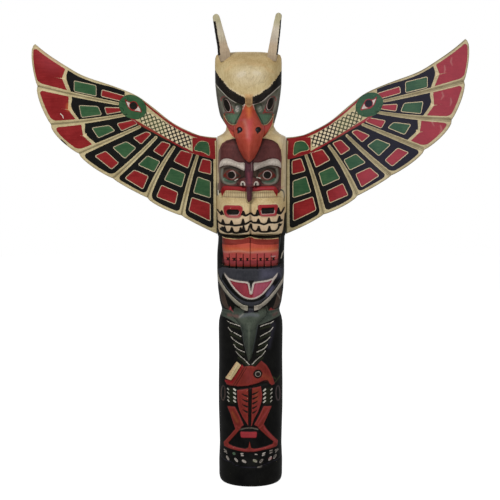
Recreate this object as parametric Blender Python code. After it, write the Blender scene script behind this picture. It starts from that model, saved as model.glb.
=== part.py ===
"""A painted cedar totem pole with two wing boards and two horn slats.

The trunk is one closed loft: level rings, whose front half carries the carving.  The front is the
outermost of several layers (core, thunderbird head, face, nose, paws, claws, raven), each with its
own half-width and depth at named levels.  The two beaks are lofts of their own, joined to it.
The wings are scalloped boards with a V-groove between the feathers, and the horns are tapered
slats scribed to the crown.

Units are metres.  +Z is up, the carving faces -Y, and the origin is the middle of the foot.
"""

import math

import bmesh
import bpy
import numpy as np
from mathutils import Matrix

MM = 0.001
GAP = 0.3 * MM                  # clearance between pieces that touch

# ---- driving dimensions ------------------------------------------------------------------------
CROWN_Z = 1.683                 # top of the thunderbird's head
HEAD_LEAN = -0.009              # the head stands this far to the left of the foot
CHEST_LEAN = 0.003              # and the stretch between the wings this far to the right
FIGURE_SHIFT = -0.0065          # both beaks, the nose and the eyes stand this far off the middle
BACK_DEPTH = 0.098              # axis to the plain rounded back
SHOULDER_Z = 1.361              # top of the flat flanks that the wings butt against
FLANK = 0.134                   # half-width of the trunk between the wings

WING_THICKNESS = 0.024
WING_FRONT_Y = -0.012
WING_RAISE = {-1: 0.0, 1: math.radians(1.6)}      # the right wing is set a little higher
FEATHER_GROOVE = 0.009          # depth of the V between two feathers
FEATHER_GROOVE_WIDTH = 0.018

HORN_THICKNESS = 0.014
HORN_FRONT_Y = -0.072
HORN_YAW = math.radians(20)     # the front faces turn in, so that the outer edges show
HORN_FOOT_X = {-1: 0.087, 1: 0.087}
HORN_LEAN = {-1: math.radians(12.4), 1: math.radians(8.9)}
HORN_TOP_Z = {-1: 1.825, 1: 1.828}
# Level and half-width of each slat, from the hidden foot up to the start of the round top.
HORN_WIDTHS = {
    -1: ((1.628, 0.018), (1.656, 0.022), (1.676, 0.025), (1.703, 0.0205), (1.760, 0.017),
         (1.810, 0.014)),
    1: ((1.628, 0.017), (1.656, 0.0195), (1.672, 0.020), (1.700, 0.019), (1.757, 0.0165),
        (1.815, 0.0125)),
}
SCRIBE_GAP = 0.8 * MM           # the horn's foot is scribed this far clear of the faceted crown

# Level, half-width, front depth of the trunk behind the carved layers, from foot to crown.
CORE = np.array([
    (0.000, 0.118, 0.112), (0.006, 0.123, 0.119), (0.020, 0.1255, 0.122), (0.080, 0.126, 0.123),
    (0.150, 0.123, 0.120), (0.200, 0.124, 0.120), (0.300, 0.1265, 0.121), (0.390, 0.1265, 0.121),
    (0.500, 0.125, 0.120), (0.610, 0.126, 0.118), (0.640, 0.125, 0.116), (0.660, 0.121, 0.112),
    (0.677, 0.115, 0.107), (0.690, 0.113, 0.104), (0.720, 0.121, 0.104), (0.770, 0.128, 0.104),
    (0.832, 0.131, 0.106), (0.896, 0.131, 0.106), (0.975, 0.129, 0.104), (0.990, 0.134, 0.098),
    (1.100, FLANK, 0.094), (1.340, FLANK, 0.094), (SHOULDER_Z, 0.132, 0.092), (1.372, 0.110, 0.090),
    (1.385, 0.097, 0.090), (1.402, 0.091, 0.090), (1.424, 0.101, 0.092), (1.440, 0.108, 0.094),
    (1.460, 0.113, 0.096), (1.480, 0.117, 0.097), (1.520, 0.123, 0.098), (1.560, 0.127, 0.098),
    (1.640, 0.128, 0.080), (1.658, 0.127, 0.064), (1.670, 0.123, 0.049), (1.677, 0.113, 0.036),
    (1.680, 0.085, 0.027), (CROWN_Z, 0.050, 0.018),
])

# The carved layers in front of the core: level, half-width, front depth.
HEAD = np.array([
    (1.352, 0.040, 0.098), (1.360, 0.058, 0.108), (1.372, 0.072, 0.113), (1.385, 0.080, 0.117),
    (1.403, 0.090, 0.120), (1.424, 0.101, 0.122), (1.440, 0.108, 0.124), (1.460, 0.113, 0.126),
    (1.480, 0.117, 0.128), (1.500, 0.120, 0.130), (1.530, 0.124, 0.132), (1.560, 0.127, 0.132),
    (1.606, 0.128, 0.129), (1.622, 0.128, 0.122), (1.640, 0.128, 0.106), (1.658, 0.127, 0.081),
    (1.670, 0.123, 0.058), (1.677, 0.113, 0.040), (1.680, 0.085, 0.029), (CROWN_Z, 0.050, 0.018),
])
BEAK = np.array([
    (1.268, 0.004, 0.100), (1.273, 0.010, 0.205), (1.285, 0.020, 0.214), (1.315, 0.036, 0.226),
    (1.340, 0.045, 0.232), (1.360, 0.051, 0.232), (1.380, 0.054, 0.226), (1.400, 0.052, 0.214),
    (1.420, 0.046, 0.196), (1.440, 0.036, 0.174), (1.460, 0.026, 0.152), (1.485, 0.016, 0.130),
])
FACE = np.array([
    (1.132, 0.118, 0.100), (1.138, 0.120, 0.108), (1.152, 0.121, 0.112), (1.158, 0.121, 0.120),
    (1.174, 0.121, 0.120), (1.182, 0.121, 0.114), (1.230, 0.121, 0.116), (1.277, 0.121, 0.120),
    (1.315, 0.119, 0.119), (1.336, 0.110, 0.114), (1.346, 0.098, 0.108), (1.352, 0.084, 0.102),
    (1.357, 0.060, 0.096),
])
NOSE = np.array([
    (1.114, 0.004, 0.118), (1.119, 0.009, 0.138), (1.140, 0.011, 0.141), (1.176, 0.012, 0.143),
    (1.180, 0.040, 0.143), (1.192, 0.046, 0.143), (1.204, 0.036, 0.139), (1.212, 0.018, 0.136),
    (1.250, 0.016, 0.132), (1.282, 0.014, 0.124),
])
PAWS = np.array([
    (0.990, 0.124, 0.112), (0.996, 0.127, 0.128), (1.010, 0.129, 0.137), (1.045, 0.131, 0.141),
    (1.085, 0.131, 0.140), (1.110, 0.130, 0.134), (1.126, 0.127, 0.124), (1.134, 0.122, 0.110),
])
CLAWS = np.array([
    (0.868, 0.101, 0.110), (0.872, 0.103, 0.121), (0.926, 0.110, 0.148), (0.934, 0.111, 0.151),
    (0.966, 0.114, 0.150), (0.982, 0.115, 0.140), (0.986, 0.115, 0.120),
])
RAVEN = np.array([
    (0.672, 0.112, 0.106), (0.684, 0.113, 0.116), (0.700, 0.115, 0.122), (0.720, 0.121, 0.126),
    (0.770, 0.128, 0.130), (0.832, 0.131, 0.130), (0.862, 0.131, 0.126), (0.874, 0.130, 0.114),
])
RAVEN_BEAK = np.array([
    (0.512, 0.004, 0.124), (0.518, 0.008, 0.184), (0.540, 0.013, 0.194), (0.578, 0.021, 0.202),
    (0.620, 0.029, 0.202), (0.650, 0.035, 0.194), (0.672, 0.042, 0.178), (0.690, 0.046, 0.156),
    (0.704, 0.044, 0.132), (0.712, 0.036, 0.120),
])

BLEND = 0.010                   # width of the soft crease where one carved layer meets the next
CLAW_PITCH = 0.026              # eight claws side by side
BEAK_ROOT = 0.088               # the beaks start this far in front of the axis, inside the trunk

# Roundness of a layer's level section: 2 is an ellipse, more is boxier.
ROUND_HEAD, ROUND_BEAK, ROUND_BLOCK, ROUND_CLAWS = 2.3, 1.7, 3.2, 4.0
ROUND_CORE = np.array([(0.95, 2.1), (0.985, 3.0), (1.355, 3.0), (1.400, 2.4)])

# Feather grooves meet the wing's lower edge in these notches, (out from the axis, height).
NOTCHES = ((0.820, 1.554), (0.772, 1.408), (0.666, 1.296), (0.536, 1.200), (0.404, 1.125),
           (0.272, 1.056))
GROOVE_ENDS = ((0.513, 1.487), (0.479, 1.446), (0.430, 1.399), (0.368, 1.358), (0.299, 1.320),
               (0.209, 1.287))
GROOVE_SAG = (-0.003, -0.005, 0.0, -0.003, 0.008, 0.004)
LOBE_BULGE = (0.013, 0.013, 0.016, 0.011, 0.004, 0.009, 0.003)
WING_TIP = (0.833, 1.714)
WING_FOOT = (FLANK + GAP, 0.984)
WING_TOP = ((0.808, 1.700), (0.711, 1.631), (0.641, 1.592), (0.532, 1.555), (0.445, 1.520),
            (0.383, 1.477), (0.301, 1.413), (0.217, 1.372), (0.176, 1.362))
WING_SHOULDER = (FLANK + GAP, 1.358)

COLOURS = {
    "pole": (0.44, 0.33, 0.20), "left_wing": (0.34, 0.04, 0.04), "right_wing": (0.38, 0.05, 0.06),
    "left_horn": (0.38, 0.33, 0.27), "right_horn": (0.38, 0.33, 0.27),
}


# ---- helpers -----------------------------------------------------------------------------------
def clear_scene():
    """Remove every object, so that the script always starts from nothing."""
    for obj in list(bpy.data.objects):
        bpy.data.objects.remove(obj, do_unlink=True)


def smooth(value, low, high):
    """Smooth step from 0 at low to 1 at high."""
    t = np.clip((value - low) / (high - low), 0.0, 1.0)
    return t * t * (3.0 - 2.0 * t)


def station(table, z, column):
    """A layer's half-width (column 1) or depth (column 2) at height z."""
    return np.interp(z, table[:, 0], table[:, column])


def arch(x, half_width, power):
    """Height 1 at the middle, 0 at the half-width: a superellipse's upper half."""
    t = np.clip(np.abs(x) / half_width, 0.0, 1.0)
    return (1.0 - t ** power) ** (1.0 / power)


def layer(table, x, z, power):
    """Front depth of one carved layer, and 0 outside its outline."""
    inside = (z >= table[0, 0]) & (z <= table[-1, 0])
    half = station(table, z, 1)
    return np.where(inside & (np.abs(x) < half), station(table, z, 2) * arch(x, half, power), 0.0)


def raised(table, x, z, power, base):
    """Front depth of a feature that stands on a base depth and rounds off to it at its sides."""
    inside = (z >= table[0, 0]) & (z <= table[-1, 0])
    half = station(table, z, 1)
    rise = np.maximum(station(table, z, 2) - base, 0.0) * arch(x, half, power)
    return np.where(inside & (np.abs(x) < half), base + rise, 0.0)


def meet(a, b):
    """The outer of two depths, with a soft crease where they cross."""
    overlap = np.maximum(BLEND - np.abs(a - b), 0.0)
    return np.maximum(a, b) + overlap ** 2 / (4.0 * BLEND)


def lean(z):
    """Sideways drift of the trunk's middle: even between the wings, the other way at the head."""
    return CHEST_LEAN * smooth(z, 0.90, 0.975) + (HEAD_LEAN - CHEST_LEAN) * smooth(z, SHOULDER_Z, 1.45)


# ---- the trunk ---------------------------------------------------------------------------------
def front_depth(x, z):
    """Distance from the axis plane to the carved front at (x, z), both arrays."""
    depth = layer(CORE, x, z, station(ROUND_CORE, z, 1))

    head = layer(HEAD, x, z, ROUND_HEAD)
    brow_edge = 1.483 + 3.6 * x ** 2                    # lower edge of the brows, a shallow parabola
    under_brow = smooth(brow_edge - z, -0.008, 0.020) * smooth(z, 1.400, 1.450)
    depth = meet(depth, head - 0.013 * under_brow * (head > 0))

    face = layer(FACE, x, z, ROUND_BLOCK)
    socket = ((np.abs(x + lean(z) - FIGURE_SHIFT) - 0.066) / 0.050) ** 2 + ((z - 1.220) / 0.038) ** 2
    depth = meet(depth, face - 0.015 * smooth(1.0 - socket, 0.0, 0.6) * (face > 0))
    nose_x = x + lean(z) - FIGURE_SHIFT
    depth = np.maximum(depth, raised(NOSE, nose_x, z, 2.0, np.minimum(depth, 0.115)))

    half_paw = 0.5 * station(PAWS, z, 1)
    across = np.abs(x) - half_paw
    paws = layer(PAWS, x, z, ROUND_BLOCK) - 0.012 * (1.0 - arch(across, half_paw + 0.002, 2.0))
    depth = meet(depth, paws)

    depth = meet(depth, layer(CLAWS, x, z, ROUND_CLAWS))

    raven = layer(RAVEN, x, z, ROUND_HEAD)
    band_edge = 0.712 + 6.0 * x ** 2                    # lower edge of the raven's brow bands
    return meet(depth, raven - 0.012 * smooth(band_edge - z, -0.008, 0.022) * (raven > 0))


def trunk_levels():
    """Heights of the trunk's rings: every named level, and even steps between the far ones."""
    named = np.concatenate([t[:, 0] for t in (CORE, HEAD, FACE, NOSE, PAWS, CLAWS, RAVEN)])
    named = np.unique(np.round(named, 3))
    levels = [named[0]]
    for z in named[1:]:
        gap = z - levels[-1]
        if gap < 0.0045 and z < CROWN_Z:
            continue
        pieces = int(math.ceil(gap / 0.030))
        levels.extend(levels[-1] + gap * (i + 1) / pieces for i in range(pieces))
    return np.array(levels)


def trunk_columns():
    """Places of the ring's points as fractions of the half-width: front, then back."""
    middle = np.arange(-15, 16) * (0.0077 / 0.128)
    front = np.concatenate([[-1.0, -0.98, -0.945], middle, [0.945, 0.98, 1.0]])
    back = np.cos(np.linspace(0.0, math.pi, 14))[1:-1]
    return front, back


def make_trunk():
    """Loft the rings into one closed body with a flat foot and a flat crown."""
    front, back = trunk_columns()
    levels = trunk_levels()
    half = station(CORE, levels, 1)[:, None]
    z_front = np.repeat(levels[:, None], len(front), axis=1)
    x_front = front[None, :] * half
    y_front = -front_depth(x_front, z_front)
    y_front[:, [0, -1]] = 0.0
    z_back = np.repeat(levels[:, None], len(back), axis=1)
    x_back = back[None, :] * half
    crown = 1.0 - 0.25 * smooth(z_back, 1.640, CROWN_Z)
    y_back = BACK_DEPTH * crown * arch(x_back, half, station(ROUND_CORE, z_back, 1))
    x = np.concatenate([x_front, x_back], axis=1)
    y = np.concatenate([y_front, y_back], axis=1)
    z = np.concatenate([z_front, z_back], axis=1)
    points = np.stack([x + lean(z), y, z], axis=2)

    rings, around = points.shape[:2]
    faces = [tuple(range(around))[::-1], tuple((rings - 1) * around + i for i in range(around))]
    for r in range(rings - 1):
        for c in range(around):
            a, b = r * around + c, r * around + (c + 1) % around
            faces.append((a, b, b + around, a + around))
    mesh = bpy.data.meshes.new("pole")
    mesh.from_pydata(points.reshape(-1, 3).tolist(), [], faces)
    pole = finish_mesh(mesh, "pole", roughness=0.5)
    for name, table in (("beak", BEAK), ("raven_beak", RAVEN_BEAK)):
        join = pole.modifiers.new(name, 'BOOLEAN')
        join.operation = 'UNION'
        join.solver = 'EXACT'
        join.object = beak_guide(name, table)
    cut = pole.modifiers.new("claw_slits", 'BOOLEAN')
    cut.operation = 'DIFFERENCE'
    cut.solver = 'EXACT'
    cut.object = slit_cutter()
    return pole


def slit_cutter():
    """Seven upright wedges that part the claws, deepest at the claws' lower edge."""
    high, low, wide = 0.940, 0.864, 0.0045
    bm = bmesh.new()
    for i in range(-3, 4):
        x = i * CLAW_PITCH + lean(0.5 * (high + low))
        top = [(x - wide, -0.160, high), (x + wide, -0.160, high), (x, -0.146, high)]
        foot = [(x - wide, -0.160, low), (x + wide, -0.160, low), (x, -0.108, low)]
        loops = [[bm.verts.new(point) for point in loop] for loop in (top, foot)]
        bm.faces.new(loops[0])
        bm.faces.new(loops[1][::-1])
        for a in range(3):
            b = (a + 1) % 3
            bm.faces.new((loops[0][a], loops[1][a], loops[1][b], loops[0][b]))
    bmesh.ops.recalc_face_normals(bm, faces=bm.faces)
    return guide_object("claw_slits", bm)


def guide_object(name, bm):
    """A hidden wire object that a Boolean reads; it frees the bmesh."""
    mesh = bpy.data.meshes.new(name)
    bm.to_mesh(mesh)
    bm.free()
    guide = bpy.data.objects.new(name, mesh)
    bpy.context.collection.objects.link(guide)
    guide.hide_render = True
    guide.display_type = 'WIRE'
    return guide


def beak_guide(name, table):
    """A beak as a loft of level sections, each a pointed arch on a straight root inside the trunk."""
    across = np.sin(np.linspace(-0.5 * math.pi, 0.5 * math.pi, 13))
    rings = []
    for z, half, depth in table:
        rise = (depth - BEAK_ROOT) * arch(across, 1.0, ROUND_BEAK)
        rings.append(np.stack([across * half + FIGURE_SHIFT, -BEAK_ROOT - rise, np.full(13, z)], axis=1))
    bm = bmesh.new()
    loops = [[bm.verts.new(point) for point in ring] for ring in rings]
    bm.faces.new(loops[0])
    bm.faces.new(loops[-1][::-1])
    for here, there in zip(loops[:-1], loops[1:]):
        for i in range(len(here)):
            j = (i + 1) % len(here)
            bm.faces.new((here[i], there[i], there[j], here[j]))
    bmesh.ops.recalc_face_normals(bm, faces=bm.faces)
    return guide_object(f"{name}_guide", bm)


# ---- the wings ---------------------------------------------------------------------------------
def spline(points, steps):
    """Catmull-Rom curve through the points, as a list of (out, height)."""
    p = np.array(points)
    p = np.vstack([2 * p[0] - p[1], p, 2 * p[-1] - p[-2]])
    curve = []
    for i in range(1, len(p) - 2):
        for t in np.arange(steps) / steps:
            a, b, c, d = p[i - 1], p[i], p[i + 1], p[i + 2]
            curve.append(0.5 * (2 * b + (c - a) * t + (2 * a - 5 * b + 4 * c - d) * t ** 2
                                + (3 * b - 3 * c + d - a) * t ** 3))
    return [tuple(v) for v in curve] + [tuple(p[-2])]


def lobe(start, end, bulge, steps):
    """One scallop: a chord that swells outward, quickest just after its notch."""
    start, end = np.array(start), np.array(end)
    along = end - start
    outward = np.array([-along[1], along[0]]) / np.hypot(*along)
    t = (np.arange(steps) + 1) / steps
    swell = bulge * np.sin(math.pi * t ** 0.75) ** 0.7
    return [tuple(start + along * a + outward * b) for a, b in zip(t, swell)]


def wing_outline():
    """The board's outline from the shoulder along the top, round the tip and along the scallops."""
    outline = spline((WING_SHOULDER,) + WING_TOP[::-1] + (WING_TIP,), 2)
    corners = (WING_TIP,) + NOTCHES + (WING_FOOT,)
    for start, end, bulge in zip(corners[:-1], corners[1:], LOBE_BULGE):
        outline += lobe(start, end, bulge, 6)
    return outline


def place_wing(point, side):
    """Turn a wing point about its shoulder and put it on its side of the trunk: (x, z)."""
    out, up = point[0] - WING_SHOULDER[0], point[1] - WING_SHOULDER[1]
    turn = WING_RAISE[side] * min(1.0, out / 0.10)
    return (side * (WING_SHOULDER[0] + out * math.cos(turn) - up * math.sin(turn)) + CHEST_LEAN,
            WING_SHOULDER[1] + up * math.cos(turn) + out * math.sin(turn))


def prism(name, outline, y_front, y_back):
    """Extrude an (x, z) outline from the front plane to the back plane."""
    bm = bmesh.new()
    front = [bm.verts.new((x, y_front, z)) for x, z in outline]
    back = [bm.verts.new((x, y_back, z)) for x, z in outline]
    bm.faces.new(front)
    bm.faces.new(back[::-1])
    for i in range(len(outline)):
        j = (i + 1) % len(outline)
        bm.faces.new((front[i], back[i], back[j], front[j]))
    bmesh.ops.recalc_face_normals(bm, faces=bm.faces)
    mesh = bpy.data.meshes.new(name)
    bm.to_mesh(mesh)
    bm.free()
    return mesh


def groove_cutter(name, side, start, end, sag):
    """A long V that follows one feather boundary, open beyond the board's edge and front."""
    t = np.linspace(-0.06, 1.0, 6)
    a, b = np.array(start), np.array(end)
    normal = np.array([-(b - a)[1], (b - a)[0]]) / np.hypot(*(b - a))
    path = a + (b - a) * t[:, None] - normal * (sag * 4.0 * t * (1.0 - t))[:, None]
    tangent = np.gradient(path, axis=0)
    across = np.stack([-tangent[:, 1], tangent[:, 0]], axis=1) / np.hypot(*tangent.T)[:, None]
    bm = bmesh.new()
    rings = []
    for point, wide, u in zip(path, across, t):
        open_by = 0.5 * FEATHER_GROOVE_WIDTH * (1.0 - 0.45 * max(u, 0.0))
        deep = FEATHER_GROOVE * (1.0 - 0.5 * max(u, 0.0))
        lift = 0.003
        grow = open_by * (1.0 + lift / deep)
        left, right = place_wing(point + wide * grow, side), place_wing(point - wide * grow, side)
        floor = place_wing(point, side)
        rings.append([bm.verts.new((left[0], WING_FRONT_Y - lift, left[1])),
                      bm.verts.new((right[0], WING_FRONT_Y - lift, right[1])),
                      bm.verts.new((floor[0], WING_FRONT_Y + deep, floor[1]))])
    bm.faces.new(rings[0])
    bm.faces.new(rings[-1][::-1])
    for here, there in zip(rings[:-1], rings[1:]):
        for i in range(3):
            j = (i + 1) % 3
            bm.faces.new((here[i], there[i], there[j], here[j]))
    bmesh.ops.recalc_face_normals(bm, faces=bm.faces)
    return guide_object(name, bm)


def make_wing(name, side):
    """A scalloped board with six feather grooves, butted to the flank of the trunk."""
    outline = [place_wing(p, side) for p in wing_outline()]
    mesh = prism(name, outline, WING_FRONT_Y, WING_FRONT_Y + WING_THICKNESS)
    wing = finish_mesh(mesh, name, roughness=0.45)
    for i, (start, end, sag) in enumerate(zip(NOTCHES, GROOVE_ENDS, GROOVE_SAG)):
        cut = wing.modifiers.new(f"groove_{i + 1}", 'BOOLEAN')
        cut.operation = 'DIFFERENCE'
        cut.solver = 'EXACT'
        cut.object = groove_cutter(f"{name}_groove_{i + 1}", side, start, end, sag)
    return wing


# ---- the horns ---------------------------------------------------------------------------------
def horn_outline(side):
    """The slat in its own (across, height): wide at the crown, narrow and round at the top."""
    widths = HORN_WIDTHS[side]
    round_z, round_half = widths[-1]
    points = [(half, z) for z, half in widths[:-1]]
    for angle in np.linspace(0.0, math.pi, 9):
        rise = (HORN_TOP_Z[side] - round_z) * math.sin(angle)
        points.append((round_half * math.cos(angle), round_z + rise))
    return points + [(-half, z) for z, half in widths[-2::-1]]


def make_horn(name, side, pole):
    """A slat that leans out a little, its foot scribed to the crown."""
    mesh = prism(name, horn_outline(side), -0.5 * HORN_THICKNESS, 0.5 * HORN_THICKNESS)
    pivot = Matrix.Translation((0.0, 0.0, -1.650))
    turn = Matrix.Rotation(side * HORN_LEAN[side], 4, 'Y') @ Matrix.Rotation(-side * HORN_YAW, 4, 'Z')
    foot = (side * HORN_FOOT_X[side] - 0.008, HORN_FRONT_Y + 0.5 * HORN_THICKNESS, 1.650)
    place = Matrix.Translation(foot)
    mesh.transform(place @ turn @ pivot)
    horn = finish_mesh(mesh, name, roughness=0.6)
    scribe = bpy.data.objects.new(f"{name}_scribe", pole.data)
    bpy.context.collection.objects.link(scribe)
    scribe.hide_render = True
    scribe.display_type = 'WIRE'
    swell = scribe.modifiers.new("clearance", 'DISPLACE')
    swell.strength = SCRIBE_GAP
    swell.mid_level = 0.0
    cut = horn.modifiers.new("scribed_foot", 'BOOLEAN')
    cut.operation = 'DIFFERENCE'
    cut.solver = 'EXACT'
    cut.object = scribe
    return horn


# ---- finish ------------------------------------------------------------------------------------
def finish_mesh(mesh, name, roughness):
    """Put a mesh into a named object with its own paint."""
    obj = bpy.data.objects.new(name, mesh)
    bpy.context.collection.objects.link(obj)
    material = bpy.data.materials.new(f"{name}_paint")
    material.use_nodes = True
    shader = material.node_tree.nodes["Principled BSDF"]
    shader.inputs["Base Color"].default_value = (*COLOURS[name], 1.0)
    shader.inputs["Roughness"].default_value = roughness
    shader.inputs["Metallic"].default_value = 0.0
    mesh.materials.append(material)
    mesh.validate()
    return obj


def main():
    """Build the five pieces."""
    clear_scene()
    pole = make_trunk()
    make_wing("left_wing", -1)
    make_wing("right_wing", 1)
    make_horn("left_horn", -1, pole)
    make_horn("right_horn", 1, pole)


main()
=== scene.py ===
"""A painted cedar totem pole: thunderbird with spread wings, a face, claws, a raven and a salmon.

The trunk, the two wing boards and the two horn slats are fine surfaces worked out on grids.  Each
carved figure is drawn with a few shapes, whose signed distances in millimetres both cut the relief
and part the coats of paint.  Drawings are in millimetres: x to the viewer's right, z up.
"""
import logging
import math
from dataclasses import dataclass, field
from enum import Enum
from functools import partial
from typing import Callable, Sequence

import bmesh
import bpy
import numpy as np
from mathutils import Matrix, Vector


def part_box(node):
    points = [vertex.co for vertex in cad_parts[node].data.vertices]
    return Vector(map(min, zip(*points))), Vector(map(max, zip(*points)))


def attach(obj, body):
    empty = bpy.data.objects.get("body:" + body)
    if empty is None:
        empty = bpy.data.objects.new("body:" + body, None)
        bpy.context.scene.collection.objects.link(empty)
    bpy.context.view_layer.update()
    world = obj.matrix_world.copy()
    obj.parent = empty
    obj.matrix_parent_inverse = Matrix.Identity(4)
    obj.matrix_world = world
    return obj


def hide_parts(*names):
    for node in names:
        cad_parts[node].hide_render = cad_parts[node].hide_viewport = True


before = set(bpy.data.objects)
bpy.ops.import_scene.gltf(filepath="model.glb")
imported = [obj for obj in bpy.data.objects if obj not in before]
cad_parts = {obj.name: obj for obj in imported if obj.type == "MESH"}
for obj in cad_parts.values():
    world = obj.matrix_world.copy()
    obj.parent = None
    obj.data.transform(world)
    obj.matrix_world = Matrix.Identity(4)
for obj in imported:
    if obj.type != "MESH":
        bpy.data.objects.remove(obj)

Array = np.ndarray
Points = Sequence[tuple[float, float]]
Socket = bpy.types.NodeSocket

LOG = logging.getLogger("totem_pole")
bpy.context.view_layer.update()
MM = 0.001
WHITE_LIGHT = (1.0, 1.0, 1.0, 1.0)
FAR = 15.0                      # a drawn edge is followed no further than this
BLEND = 10.0                    # width of the soft crease where two carved layers meet


# ---- paints ------------------------------------------------------------------------------------
class Coat(Enum):
    """Brushed enamels, in the order in which one covers another: thick colour, worn one, roughness."""

    BLACK = ("#070707", "#121210", 0.40)
    SLATE = ("#27282d", "#37373c", 0.40)
    SAGE = ("#504f45", "#6c695e", 0.46)
    SPRUCE = ("#353d36", "#4d5449", 0.40)
    MAROON = ("#4c2a29", "#633836", 0.46)
    UMBER = ("#3d312a", "#54443a", 0.46)
    CREAM = ("#d0be96", "#bca67a", 0.52)
    VERMILION = ("#9d3b2b", "#b24e3e", 0.42)
    GREEN = ("#264a2e", "#3a5a3a", 0.42)
    MOSS = ("#4b5343", "#656b58", 0.42)
    TEAL = ("#455f4a", "#60775f", 0.42)
    RED = ("#741618", "#8b2425", 0.42)
    BRICK = ("#64221c", "#7a2c25", 0.42)
    PLUM = ("#3f2229", "#552f38", 0.44)
    BONE = ("#c4bab1", "#a99e93", 0.52)
    INK = ("#0f0e0c", "#1f1b17", 0.38)
    WHITE = ("#d2ccbf", "#aaa396", 0.50)

    def __init__(self, full: str, thin: str, roughness: float) -> None:
        """Number the coats as they come."""
        self.full, self.thin, self.roughness = full, thin, roughness
        self.rank = len(self.__class__.__members__)


class Tint(Enum):
    """Thin tints over the paint, and their colours: painted sheen adds its own light, the others cover. Soil
    and shade is dirt and painted shade; milk and highlight is paleness and painted highlights; rose and amber
    are tones that in places paint highlights and glare.
    """

    # Dirt and specks, and painted shade in hollows, grooves and under overhangs.
    SOIL = "#15100b"
    ROSE = "#b9525f"
    AMBER = "#cf8440"
    MOSS = "#7d8a55"
    # Pale wear and outlines, and painted highlights and glints.
    MILK = "#e2d8c6"
    # Painted glare, glints and highlights, added as light over the paint.
    BLOOM = "#6e6a88"


# ---- numbers -----------------------------------------------------------------------------------
def smooth(value: Array, low: float, high: float) -> Array:
    """Smooth step from 0 at low to 1 at high: t squared times three less two t."""
    t = np.clip((value - low) / (high - low), 0.0, 1.0)
    return t * t * (3.0 - 2.0 * t)


def arch(x: Array, half: Array | float, power: Array | float) -> Array:
    """Upper half of a superellipse: 1 in the middle and 0 at the half-width."""
    t = np.clip(np.abs(x) / half, 0.0, 1.0)
    return (1.0 - t ** power) ** (1.0 / power)


def meet(a: Array, b: Array, blend: float = BLEND) -> Array:
    """The outer of two depths, rounded by a parabola where they cross, and exact where both are 0."""
    overlap = np.maximum(blend - np.abs(a - b), 0.0) * smooth(np.minimum(a, b), 0.0, 25.0)
    return np.maximum(a, b) + overlap ** 2 / (4.0 * blend)


def ripple(x: Array, z: Array, wave: float, seed: int) -> Array:
    """Gentle unevenness between about -1 and 1: nine sine waves of about one length, turned at random.

    Args:
        x: places across, in mm.
        z: their heights.
        wave: about the length of a wave, in mm.
        seed: seed of the draws.

    Returns:
        The unevenness at each place.
    """
    rng = np.random.default_rng(seed)
    total = np.zeros(np.shape(x))
    for _ in range(9):
        angle, phase, scale = rng.uniform(0.0, math.pi), rng.uniform(0.0, math.tau), rng.uniform(0.6, 1.6)
        run = x * math.cos(angle) + z * math.sin(angle)
        total += np.sin(run * math.tau / (wave * scale) + phase)
    return total / 4.0


def gouges(x: Array, z: Array, pitch: float, seed: int) -> Array:
    """Scoops of a gouge: squared distance to the nearest of a jittered set of cuts, 0 to about 1.

    Args:
        x: places across, in mm.
        z: their heights.
        pitch: about the distance between cuts.
        seed: shifts the jitter.

    Returns:
        How far each place is from the bottom of its scoop.
    """
    u, v = x / pitch, z / pitch
    best = np.full(np.shape(x), 9.0)
    for i in (-1, 0, 1):
        for j in (-1, 0, 1):
            a, b = np.floor(u) + i, np.floor(v) + j
            hop = np.modf(np.sin(a * 127.1 + b * 311.7 + seed) * 43758.5)[0]
            skip = np.modf(np.sin(a * 269.5 + b * 183.3 + seed) * 24634.6)[0]
            best = np.minimum(best, (u - a - 0.5 - 0.4 * hop) ** 2 + (v - b - 0.5 - 0.4 * skip) ** 2)
    return np.minimum(best, 1.0)


def curve(points: Points, closed: bool = False, steps: int = 6) -> Array:
    """Catmull-Rom curve through the points.

    Args:
        points: places that the curve passes through.
        closed: whether it returns to its start.
        steps: legs between two points.

    Returns:
        The curve as an array of (x, z).
    """
    p = np.asarray(points, float)
    if closed:
        p = np.vstack([p[-1], p, p[:2]])
    else:
        p = np.vstack([2 * p[0] - p[1], p, 2 * p[-1] - p[-2]])
    t = (np.arange(steps) / steps)[None, :, None]
    a, b, c, d = p[:-3, None], p[1:-2, None], p[2:-1, None], p[3:, None]
    legs = 0.5 * (2 * b + (c - a) * t + (2 * a - 5 * b + 4 * c - d) * t ** 2
                  + (3 * b - 3 * c + d - a) * t ** 3)
    path = legs.reshape(-1, 2)
    return path if closed else np.vstack([path, p[-2]])


def both(points: Points, centre: float) -> Array:
    """A closed outline from one side's (out, height) points: up the right side and down the left."""
    return np.vstack([sided(points, 1, centre), sided(points, -1, centre)[::-1]])


def sided(points: Points | Array, side: int, centre: float) -> Array:
    """Turn (out, height) points into (x, z) on one side of a centre line."""
    p = np.asarray(points, float)
    return np.stack([centre + side * p[:, 0], p[:, 1]], axis=1)


def along(path: Array, share: Array) -> Array:
    """Points at shares 0 to 1 of a path's length.

    Args:
        path: the path.
        share: how far along it.

    Returns:
        The points, as (x, z).
    """
    run = np.concatenate([[0.0], np.cumsum(np.hypot(*np.diff(path, axis=0).T))])
    run /= run[-1]
    return np.stack([np.interp(share, run, path[:, 0]), np.interp(share, run, path[:, 1])], axis=-1)


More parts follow.
